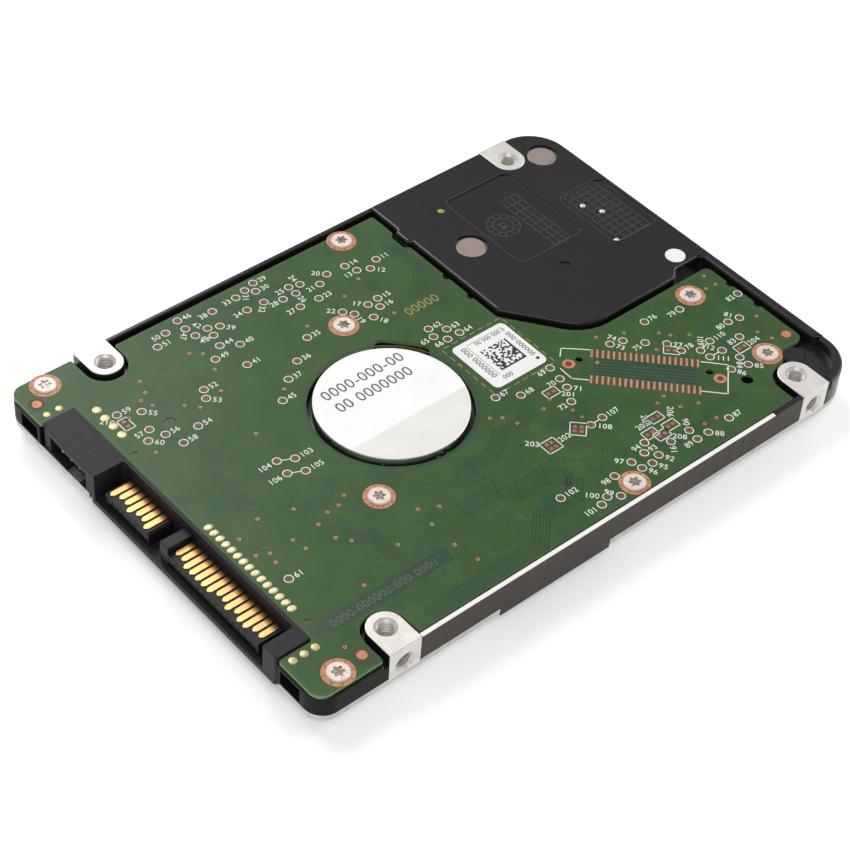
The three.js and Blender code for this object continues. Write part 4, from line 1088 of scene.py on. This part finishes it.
def header_spot(along, across):
    """A place in the header's field: a share along its rows and a share from row A to row B."""
    return between(between(*ROW_A, along), between(*ROW_B, along), across)


def make_traces():
    traces = Pile()
    for start, runs, count, pitch, width in BUSES:
        bus(traces, start, runs, count, pitch, width, TRACE_LOW, TRACE_HIGH)
    for k in range(10):
        along = 0.08 + 0.09 * k
        traces.line([header_spot(along, 0.2), header_spot(along, 0.8)], 0.12, TRACE_LOW, TRACE_HIGH)
    for x, y in scatter(11, 420, DOT_ZONES, 0.5):
        traces.disc(x, y, 0.2, TRACE_LOW, TRACE_HIGH + 0.003, 12)
    board_piece("board_traces", traces, "trace")


def make_fields():
    """The dark fields, the digits on the long one, and the faint lines in the header's."""
    shade, words, faint = Pile(), Pile(), Pile()
    shade.prism(rounded([(24.6, -42, 0.2), (27, -42, 0.2), (27, -21, 0.2), (24.6, -21, 0.2)], 2), TRACE_LOW,
                SKIN + 0.004)
    shade.prism([header_spot(0.02, 0), header_spot(0.02, 1), header_spot(0.98, 1), header_spot(0.98, 0)],
                TRACE_LOW,
                SKIN + 0.003)
    shade.ring(SPINDLE.x, SPINDLE.y, 12.1, 12.4, TRACE_LOW, SKIN + 0.004, 96)
    board_piece("board_dark_fields", shade, "trace")
    for k in range(7):
        side, bend = 0.14 + 0.12 * k, 0.3 + 0.09 * k
        after = min(side + 0.2, 0.9)
        route = [header_spot(0.04, side), header_spot(bend, side), header_spot(bend + 0.1, after),
                 header_spot(0.98, after)]
        faint.line(route, 0.1, TRACE_LOW, SKIN + 0.008)
    words.text("0000-000000-000 0000", 25.8, -41.0, 1.3, 90, TRACE_LOW, SKIN + 0.008)
    board_piece("board_strip_digits", words, "strip_digits")
    board_piece("board_faint_marks", faint, "trace_light")


def on_board(x, y):
    """Whether a printed character fits here, clear of edges, the motor, screws and the casting."""
    if abs(x) > 33 or y < -43 or y > 47 or math.hypot(x - SPINDLE.x, y - SPINDLE.y) < 12.6:
        return False
    if y > 14 and x < 5.5 + min(0, y - 23.5) * 1.3:
        return False
    if any(math.hypot(x - side * HOLE_X, y - hole_y) < 4.2 for side, hole_y in BOSSES):
        return False
    return all(math.hypot(x - sx, y - sy) > 2.5 for sx, sy in BOARD_SCREWS)


def best_turn(x, y, busy, gap=1.2):
    """The reading direction, and whether the number sits after or before the ring, with the most room."""
    best = (-1, 0, 1)
    for turn in (0, 45, 90, -45, 30, -30):
        for side in (1, -1):
            spots = [placed(x, y, turn, side * reach) for reach in (gap, gap + 0.7, gap + 1.5)]
            if not all(on_board(*spot) for spot in spots):
                continue
            room = min(math.dist(spot, other) for spot in spots for other in busy)
            best = max(best, (round(min(room, 1.4), 2), turn, side))
    return best


def busy_places(points):
    """Every place on the board that a printed number keeps clear of."""
    busy = points + VIAS + [(x, y) for x, y, turn, rows in RESISTORS] + [(x, y) for x, y,
                                                                         radius in BIG_HOLES]
    busy += [between(*row, k / 14) for row in (ROW_A, ROW_B) for k in range(15)]
    busy += [between(a, b, share) for line in HEADER_FRAME for a, b in zip(line, line[1:])
             for share in (0, 0.33, 0.67, 1)]
    return busy


def make_numbers(points):
    """Running numbers beside the test points and the resistors, where there is room for them."""
    words = Pile()
    busy = busy_places(points)
    for number, (x, y) in enumerate(points):
        label = f"{11 + number}"
        room, turn, side = best_turn(x, y, [place for place in busy if place != (x, y)])
        start = placed(x, y, turn, 0.9 if side > 0 else -0.85 - 0.78 * NUMBER_SIZE * len(label))
        if room > 0.45:
            words.text(label, *start, NUMBER_SIZE, turn, PRINT_LOW, PRINT_HIGH)
            busy += [between((x, y), start, share) for share in (1.2, 2.0)] if side > 0 else [start]
    for number, (x, y, turn, rows) in enumerate(RESISTORS):
        others = [place for place in busy if math.dist(place, (x, y)) > 0.1]
        room, turn, side = best_turn(x, y, others, 1.8)
        start = placed(x, y, turn, 1.4 if side > 0 else -3.7)
        if room > 0.85:
            words.text(f"{201 + number}", *start, NUMBER_SIZE, turn, PRINT_LOW, PRINT_HIGH)
            busy += [between((x, y), start, share) for share in (1, 1.5, 2)]
    board_piece("board_print_numbers", words, "print")


def make_vias(mouths):
    halos, rings = Pile(), Pile()
    for x, y in VIAS:
        halos.disc(x, y, 0.39, PRINT_LOW, PRINT_HIGH - 0.008, 20)
        mouths.disc(x, y, 0.15, PRINT_LOW, PRINT_HIGH - 0.004, 12)
        rings.ring(x, y, 0.14, 0.27, PRINT_LOW, PRINT_HIGH, 20)
    board_piece("board_via_mouths", mouths, "brown_hole")
    board_piece("board_via_halos", halos, "laminate")
    board_piece("board_via_rings", rings, "copper_via")


def make_resistors(ink):
    """Places for one or two resistors side by side: a printed frame, bare laminate and two pads for each."""
    bare, pads = Pile(), Pile()
    for x, y, turn, rows in RESISTORS:
        half_l, half_w = 1.15, 0.35 + 0.45 * rows
        loop = ((-1, -1), (1, -1), (1, 1), (-1, 1), (-1, -1))
        ink.line([placed(x, y, turn, a * half_l, b * half_w) for a, b in loop], 0.15, PRINT_LOW, PRINT_HIGH)
        bare.bar(x, y, 1.9, 0.9 * rows, turn, PRINT_LOW, PRINT_HIGH - 0.008)
        for row in range(rows):
            for end in (-0.5, 0.5):
                spot = placed(x, y, turn, end, (row - (rows - 1) / 2) * 0.85)
                pads.bar(*spot, 0.56, 0.56, turn, PRINT_LOW, PRINT_HIGH)
    board_piece("resistor_bare_areas", bare, "laminate")
    board_piece("resistor_pads", pads, "copper_pad")


def make_board_print():
    ink, copper, mouths = Pile(), Pile(), Pile()
    points = TEST_POINTS + [end for pair in LINKED_POINTS for end in pair]
    for x, y in points:
        ink.ring(x, y, 0.55, 0.69, PRINT_LOW, PRINT_HIGH)
        copper.ring(x, y, 0.16, 0.38, PRINT_LOW, PRINT_HIGH)
        mouths.disc(x, y, 0.2, PRINT_LOW, PRINT_HIGH - 0.006, 16)
    make_numbers(points)
    for a, b in LINKED_POINTS:
        ink.line([between(a, b, 0.3), between(a, b, 0.7)], 0.16, PRINT_LOW, PRINT_HIGH)
    make_vias(mouths)
    make_resistors(ink)
    for line in HEADER_FRAME:
        ink.line(line, 0.17, PRINT_LOW, PRINT_HIGH)
    board_piece("board_print_rings", ink, "print")
    board_piece("board_copper_pads", copper, "copper_dark")


def make_round_pads():
    """Screw pads, fiducials and the two red holes."""
    copper, dark, red = Pile(), Pile(), Pile()
    for x, y in BOARD_SCREWS:
        copper.ring(x, y, 0.9, 2.25, PRINT_LOW, SKIN + 0.016, 48)
        for k in range(8):
            dark.disc(*around(x, y, 1.95, 2 * math.pi * (k + 0.5) / 8), 0.12, PRINT_LOW, SKIN + 0.02, 12)
    for x, y in FIDUCIALS:
        copper.disc(x, y, 0.72, PRINT_LOW, SKIN + 0.018, 32)
    for x, y in RED_HOLES:
        copper.ring(x, y, 0.5, 0.95, PRINT_LOW, SKIN + 0.016, 32)
        red.disc(x, y, 0.55, PRINT_LOW, SKIN + 0.01, 24)
        dark.disc(x, y, 0.22, PRINT_LOW, SKIN + 0.014, 16)
    board_piece("board_screw_pads", copper, "copper")
    board_piece("board_pad_holes", dark, "brown_hole")
    board_piece("board_red_mouths", red, "red_hole")


def make_solder_pads():
    """The soldered ends of the plug's contacts, and the loose pads beside it."""
    gold, tin = Pile(), Pile()
    for k in range(15):
        x = POWER_X + 0.1 + PITCH * k
        gold.dome(x, -43.2, 0.52, 0.68, PRINT_LOW, 0.06)
        tin.ring(x, -43.2, 0.13, 0.33, PRINT_LOW, SKIN + 0.075 + 0.02 * (k % 4 == 0), 20)
    for k in range(4):
        gold.dome(-24.1 + 2.0 * k, -42.2, 0.68, 0.68, PRINT_LOW, 0.06)
    for k in range(3):
        gold.dome(27.5, -44.8 - 1.8 * k, 0.6, 0.6, PRINT_LOW, 0.12)
    for k in range(2):
        gold.dome(-27.5, -46.1 - 2.0 * k, 0.55, 0.55, PRINT_LOW, 0.1)
    board_piece("board_solder_pads", gold, "solder_gold")
    board_piece("board_solder_rings", tin, "solder_tin")


def make_header():
    """The header's two slanting rows of pads, on bare laminate, as the fiducials are."""
    pads, bare = Pile(), Pile()
    for x, y in FIDUCIALS:
        bare.disc(x, y, 1.2, PRINT_LOW, SKIN + 0.006, 32)
    for first, last in (ROW_A, ROW_B):
        turn = math.degrees(math.atan2(last[1] - first[1], last[0] - first[0]))
        middle = between(first, last, 0.5)
        bare.bar(*middle, math.dist(first, last) + 0.6, 1.75, turn, PRINT_LOW, SKIN + 0.006)
        for k in range(ROW_PADS):
            spot = between(first, last, k / (ROW_PADS - 1))
            pads.bar(*spot, 0.31, 1.65, turn, PRINT_LOW, SKIN + 0.03)
    board_piece("header_pads", pads, "copper_light")
    board_piece("header_bare_laminate", bare, "laminate")


def make_edge_dots():
    """A dotted line just inside the board's edge."""
    dots = Pile()
    rim = board_outline(-0.32, bites=False)
    travelled = 0.0
    for a, b in zip(rim, rim[1:] + rim[:1]):
        length = math.dist(a, b)
        while travelled < length:
            dots.disc(*between(a, b, travelled / length), 0.055, PRINT_LOW, SKIN + 0.012, 6)
            travelled += 0.42
        travelled -= length
    board_piece("board_edge_dots", dots, "board_rim")


def make_board_pads():
    slugs = Pile()
    for x, y, radius in BIG_HOLES[:1] + BIG_HOLES[2:4]:
        slugs.disc(x, y, radius + 0.1, BOARD_LOW.z - 0.2, SKIN - 0.18, 32)
    finish_piece("hole_slugs", slugs.mesh(), "slug")
    make_round_pads()
    make_solder_pads()
    make_header()
    make_edge_dots()


def make_board_label():
    low, high = span("board_label")
    outline = rectangle(low.x, high.x, low.y, high.y, 0.9)
    finish_piece("code_label", plate(outline, SKIN + 0.005, SKIN + 0.07, edge=0.015), "white_label",
                 slot="label_paper", replaces=["board_label"])
    chance = random.Random(3)
    ink = Pile()
    z0, z1 = SKIN + 0.066, SKIN + 0.078
    cells, cell = 16, 0.3
    left, bottom = high.x - 2.3 - cells * cell, high.y - 1.9 - cells * cell
    for i in range(cells):
        for j in range(cells):
            edge_cell = i == cells - 1 or j == cells - 1
            if edge_cell or chance.random() < 0.5:
                ink.bar(left + i * cell, bottom + j * cell, cell * 1.02, cell * 1.02, 0, z0, z1)
    ink.disc(high.x - 1.3, high.y - 1.0, 0.3, z0, z1)
    ink.text("000000-000", high.x - 2.1, high.y - 1.0, 0.85, 180, z0, z1)
    ink.text("0 000 000 00", low.x + 1.4, high.y - 0.8, 0.72, -90, z0, z1)
    ink.line([(low.x + 0.85, high.y - 0.9), (low.x + 0.85, low.y + 2.6)], 0.07, z0, z1)
    ink.text("0000000 000", high.x - 2.0, low.y + 1.5, 0.95, 180, z0, z1)
    ink.line([(high.x - 2.0, low.y + 2.3), (low.x + 1.0, low.y + 2.3)], 0.07, z0, z1)
    ink.text("000", high.x - 1.2, low.y + 4.0, 0.8, -90, z0, z1)
    finish_piece("code_label_ink", ink.mesh(), "ink", slot="label_paper")


def make_gold_marks():
    """A dashed square and zeros etched beside the motor."""
    dashes = Pile()
    corners = [(-4.4, 3.8), (7.4, 3.8), (7.4, 15.2), (-4.4, 15.2), (-4.4, 3.8)]
    for a, b in zip(corners, corners[1:]):
        for k in range(7):
            dash = [between(a, b, k / 7 + 0.02), between(a, b, k / 7 + 0.1)]
            dashes.line(dash, 0.16, PRINT_LOW, SKIN + 0.01)
    dashes.text("00000", -13.6, 4.8, 1.7, 90, PRINT_LOW, SKIN + 0.01)
    board_piece("board_gold_marks", dashes, "gold_print")


def torx_screw(x, y, seat, way, head_r, height, tip):
    """A low round head with a six-lobed recess and a shank with thread ridges, along Z."""
    profile = [(0, tip), (0.45, tip), (0.7, tip + way * 0.25)]
    z = tip + way * 0.3
    while (seat - z) * way > 0.35:
        profile += [(0.62, z), (0.72, z + way * 0.12)]
        z += way * 0.3
    top = seat + way * height
    profile += [(0.65, seat), (head_r, seat), (head_r, top - way * 0.18), (head_r - 0.06, top - way * 0.07),
                (head_r - 0.2, top), (0, top)]
    lobes = [around(x, y, 0.78 + 0.16 * math.cos(6 * a),
                    a) for a in [2 * math.pi * k / 72 for k in range(72)]]
    low, high = sorted((top - way * 0.2, top + way * 0.3))
    return carve(revolve(profile, 48, x, y), plate(lobes, low, high, edge=0.02))


def make_screws():
    recess_shade_discs = Pile()
    for k, (x, y) in enumerate(BOARD_SCREWS):
        low, high = span(f"board_screw_{k + 1}")
        body = torx_screw(x, y, SKIN + 0.02, 1, 1.65, high.z - SKIN - 0.02, low.z)
        finish_piece(f"board_torx_screw_{k + 1}", body, "screw", slot="screw_steel",
                     replaces=[f"board_screw_{k + 1}"])
        # a dark disc down in each board screw's recess: painted shade
        recess_shade_discs.disc(x, y, 0.97, high.z - 0.21, high.z - 0.15, 24)
    for k, (x, y) in enumerate(COVER_SCREWS):
        high = span(f"cover_screw_{k + 1}")[1]
        body = torx_screw(x, y, COVER_LOW.z + FLANGE_RISE + 0.04, -1, 1.5, 0.6, high.z)
        finish_piece(f"cover_torx_screw_{k + 1}", body, "screw", slot="screw_steel",
                     replaces=[f"cover_screw_{k + 1}"])
    finish_piece("board_screw_recess_shade", recess_shade_discs.mesh(), "recess", slot="screw_steel")


# ------------------------------------------------------------------ motor
def make_motor():
    r, top, x, y = MOTOR_R, MOTOR_HIGH.z, SPINDLE.x, SPINDLE.y
    profile = [(2.95, 3.1), (3.7, 3.1), (3.7, top - 0.5), (r - 0.85, top - 0.5), (r - 0.85, 4.25),
               (r - 0.35, 4.25),
               (r - 0.35, 4.85), (r, 4.85), (r, top - 0.3), (r - 0.08, top - 0.1), (r - 0.25, top), (3, top),
               (0.01, top), (0.01, top - 0.4), (2.95, top - 0.4), (2.95, 3.1)]
    finish_piece("motor_cup", revolve(profile, 128, x, y), "motor", slot="motor_steel",
                 replaces=["motor_base"])
    label_r = r - 0.12
    cut_x = 3.8
    low, high = top + 0.005, top + 0.06
    angle = math.acos(cut_x / label_r)
    rim = [around(x, y, label_r, angle + (2 * math.pi - 2 * angle) * k / 96) for k in range(97)]
    film = [around(x, y, label_r, -angle + 2 * angle * k / 40) for k in range(41)]
    finish_piece("motor_round_label", plate(rim, low, high, edge=0.015), "motor_label",
                 slot="motor_label_film",
                 replaces=["motor_label"])
    finish_piece("motor_label_window", plate(film, low, high - 0.01, edge=0.015), "clear_film",
                 slot="motor_label_film")
    ink = Pile()
    ink.text("0000-000-00", x - 6.6, y - 7.2, 1.95, 90, high - 0.002, high + 0.008)
    ink.text("00 0000000", x - 3.6, y - 7.0, 1.95, 90, high - 0.002, high + 0.008)
    finish_piece("motor_label_ink", ink.mesh(), "grey_ink", slot="motor_label_film")


# ------------------------------------------------------------------ plug
def contact_strip(x, tip, top):
    """One contact: a flat strip with a narrowed tip."""
    outline = [(x + 0.45, PLUG_BACK - 0.3), (x - 0.45, PLUG_BACK - 0.3), (x - 0.45, tip + 0.4),
               (x - 0.14, tip),
               (x + 0.14, tip), (x + 0.45, tip + 0.4)]
    return plate(outline, TONGUE_TOP + 0.005, top, edge=0.03)


SIGNAL_END = SIGNAL_X + 6 * PITCH
POWER_END = POWER_X + 14 * PITCH
LONG_SIGNAL = (0, 3, 6)
LONG_POWER = (2, 3, 4, 5, 6, 9, 11, 12)


def make_plug_housing():
    front, back, half = PLUG_FRONT, PLUG_BACK, PLUG_HALF
    outline = [(-half, front + 0.3, 0.5), (-20, front, 8), (half, front, 0.5), (half, back, 0.4),
               (-half, back, 0.4)]
    upper = plate(rounded(outline), 2.1, PLUG_HIGH.z, edge=0.12, steps=3)
    lip = plate(rectangle(-14.5, 25.9, front, back, 0.3), 1.0, 2.6, edge=0.15)
    bay = plate(rectangle(-13.6, 23.4, AHEAD, back - 0.6, 0.5), 2.0, OVER, edge=0.05)
    jumper_room = box(-24.4, -15.6, AHEAD, -45.6, 2.6, 5.5)
    jumper_slot = plate(rectangle(-20.6, -17.2, AHEAD, -48.6, 0.1), 1.5, 3.4, edge=0.02)
    ears = [plate(rectangle(*sorted((side * (half - 0.2), side * (half + 0.25))), front + 0.7, back - 0.6,
                            0.1),
                  2.2, 5.6, edge=0.05) for side in (-1, 1)]
    shell = carve(union(upper, lip, *ears), bay, jumper_room, jumper_slot)
    finish_piece("plug_housing", shell, "plug", slot="connector_plastic",
                 replaces=["sata_connector_housing"])


def make_plug_tongues():
    """The two notched tongues that carry the contacts, and the upright ribs beside them."""
    front, back = PLUG_FRONT, PLUG_BACK - 0.4
    tongues = []
    for first, last in ((SIGNAL_X - 0.9, SIGNAL_END + 1.0), (POWER_X - 0.9, POWER_END + 0.9)):
        slab = plate(rectangle(first, last, front + 0.75, back, 0.1), 3.05, TONGUE_TOP, edge=0.08)
        notches = [box(first + 0.28 + PITCH * k, first + 0.52 + PITCH * k, front, front + 1.1, 3.35, 3.8)
                   for k in range(round((last - first) / PITCH))]
        tongues.append(carve(slab, *notches))
    ribs = [
        (SIGNAL_X - 0.9, SIGNAL_X - 0.15, 0.8, 0.1, 3.1, 0.04),
        (POWER_END + 0.15, POWER_END + 0.9, 0.8, 0.1, 3.1, 0.04),
        (POWER_X - 2.55, POWER_X - 0.75, 0.75, 0.15, 5.3, 0.1),
        (SIGNAL_END + 0.95, SIGNAL_END + 1.2, 0.8, 0.05, 4.1, 0.04),
    ]
    for x0, x1, setback, corner, top, edge in ribs:
        tongues.append(plate(rectangle(x0, x1, front + setback, back, corner), 2.1, top, edge=edge))
    finish_piece("plug_tongues", tongues, "plug_dark", slot="connector_plastic")


def make_contacts(name, node, first, count, long_ones):
    strips = [contact_strip(first + PITCH * k, -49.0 if k in long_ones else -48.4, TONGUE_TOP + 0.15)
              for k in range(count)]
    finish_piece(name, strips, "gold", slot="contact_gold", replaces=[node])


def make_plug():
    make_plug_housing()
    make_plug_tongues()
    make_contacts("signal_contacts", "sata_signal_contacts", SIGNAL_X, 7, LONG_SIGNAL)
    make_contacts("power_contacts", "sata_power_contacts", POWER_X, 15, LONG_POWER)
    prongs = [plate(rectangle(-22.4 + 2 * k, -21.95 + 2 * k, -49.3, -44.4, 0.08), 3.95, 4.4, edge=0.08)
              for k in range(4)]
    finish_piece("jumper_prongs", prongs, "gold", slot="contact_gold", replaces=["jumper_pins"])


# ------------------------------------------------------------------ cover side
def cover_label_marks(low, high):
    """Generic bars, zeros and frames, drawn seen from above and then turned over about Y."""
    marks = Pile()
    z0, z1 = -low.z - 0.02, -low.z - 0.002
    left, right, near, far = -high.x + 2.5, -low.x - 2.5, low.y + 2.5, high.y - 2.5
    marks.line([(left, near), (right, near), (right, far), (left, far), (left, near)], 0.2, z0, z1)
    marks.line([(left, far - 14), (right, far - 14)], 0.2, z0, z1)
    marks.line([(left, near + 15), (right, near + 15)], 0.2, z0, z1)
    marks.text("0000", left + 3, far - 7, 7, 0, z0, z1)
    chance = random.Random(8)
    for first, length in ((near + 3, 26), (near + 9, 18)):
        x = left + 3
        while x < left + 3 + length:
            width = chance.choice((0.2, 0.4, 0.6))
            marks.bar(x + width / 2, first + 2, width, 3.6, 0, z0, z1)
            x += width + chance.choice((0.25, 0.45))
    for k in range(6):
        marks.text("000000000 00 0000"[: 17 - 2 * (k % 3)], left + 3, near + 18.5 + 2.6 * k, 1.4, 0, z0, z1)
    mesh = marks.mesh()
    mesh.transform(Matrix.Rotation(math.pi, 4, "Y"))
    return mesh


def make_cover():
    flange = carve(
        plate(case_outline(0.02), COVER_LOW.z + FLANGE_RISE, COVER_HIGH.z, edge=0.12, steps=3),
        box(-14.8, 26.9, -HALF_L - 1, PLUG_BACK + 0.5, 0, OVER),
        *(side_box(side, HALF_W + 1, 33.9, WAIST[0] - 0.1, WAIST[1] + 0.1, 0, OVER) for side in (-1, 1)),
    )
    pan = union(*(plate(loop, COVER_LOW.z, 1.6, edge=0.35, steps=4) for loop in chamber_outlines(-0.1)))
    hollow = chamber(-0.6, COVER_LOW.z + 0.5, OVER, 0.3)
    screw_holes = [round_plate(place, 0.85, 0, OVER, 24) for place in COVER_SCREWS]
    seats = [round_plate(place, 1.75, 0, COVER_LOW.z + FLANGE_RISE + 0.06, 40,
                         0.02) for place in COVER_SCREWS]
    breather = round_plate((21.5, 44.0), 0.6, 0, OVER, 24)
    shell = carve(union(flange, pan), hollow, breather, *screw_holes, *seats)
    finish_piece("cover_shell", shell, "cover", slot="cover_sheet", replaces=["top_cover"])
    low, high = span("cover_label")
    sheet = plate(rectangle(low.x, high.x, low.y, high.y, 2), low.z + 0.012, high.z, edge=0.015)
    finish_piece("cover_label_sheet", sheet, "white_label", slot="label_paper", replaces=["cover_label"])
    finish_piece("cover_label_ink", cover_label_marks(low, high), "ink", slot="label_paper")


# ------------------------------------------------------------------ carried-over CAD nodes
CARRIED = {
    "rubber": ["cover_gasket", "crash_stop"],
    "chip": ["controller_chip", "motor_driver_chip"],
    "plug": ["flex_connector"],
    "steel": ["spindle_shaft", "pivot_shaft", "pivot_bearing", "suspension_lower", "suspension_upper"],
    "bronze": ["bearing_sleeve"],
    "lamination": ["stator_core", "yoke_lower", "yoke_upper"],
    "wire": ["stator_windings", "voice_coil"],
    "polyimide": ["motor_flex", "actuator_flex"],
    "turned_aluminium": ["spindle_hub", "disk_clamp"],
    "aluminium": ["actuator_arm"],
    "magnet": ["rotor_magnet", "magnet_lower", "magnet_upper"],
    "platter": ["platter"],
    "ivory": ["load_ramp", "inertia_latch"],
    "ceramic": ["slider_lower", "slider_upper"],
    "fleece": ["recirculation_filter", "breather_filter"],
    "screw": ["clamp_screw"],
}


def dress_cad_nodes():
    for material, names in CARRIED.items():
        for name in names:
            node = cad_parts[name]
            if not node.material_slots:
                node.data.materials.append(None)
            for index in range(len(node.material_slots)):
                node.material_slots[index].material = MATERIALS[material]


def make_floor():
    work = bmesh.new()
    bmesh.ops.create_grid(work, x_segments=2, y_segments=2, size=3)
    mesh = bpy.data.meshes.new("floor")
    work.to_mesh(mesh)
    work.free()
    floor = as_object("floor", mesh)
    floor.location.z = -0.0002
    nodes = Nodes("floor_paper")
    nodes.colour(nodes.ramp(nodes.noise(4, 2), [(0.3, (250, 250, 250)), (0.7, (253, 253, 253))]))
    nodes.rough(nodes.noise(300, 3), 0.8, 0.95)
    nodes.shader.inputs["Emission Color"].default_value = (1, 1, 1, 1)
    nodes.shader.inputs["Emission Strength"].default_value = 0.22
    mesh.materials.append(nodes.material)


make_camera()
make_studio()
make_floor()
make_casting()
make_deck_marks()
make_seals()
make_board()
make_traces()
make_fields()
make_board_print()
make_board_pads()
make_board_label()
make_gold_marks()
make_screws()
make_motor()
make_plug()
make_cover()
dress_cad_nodes()
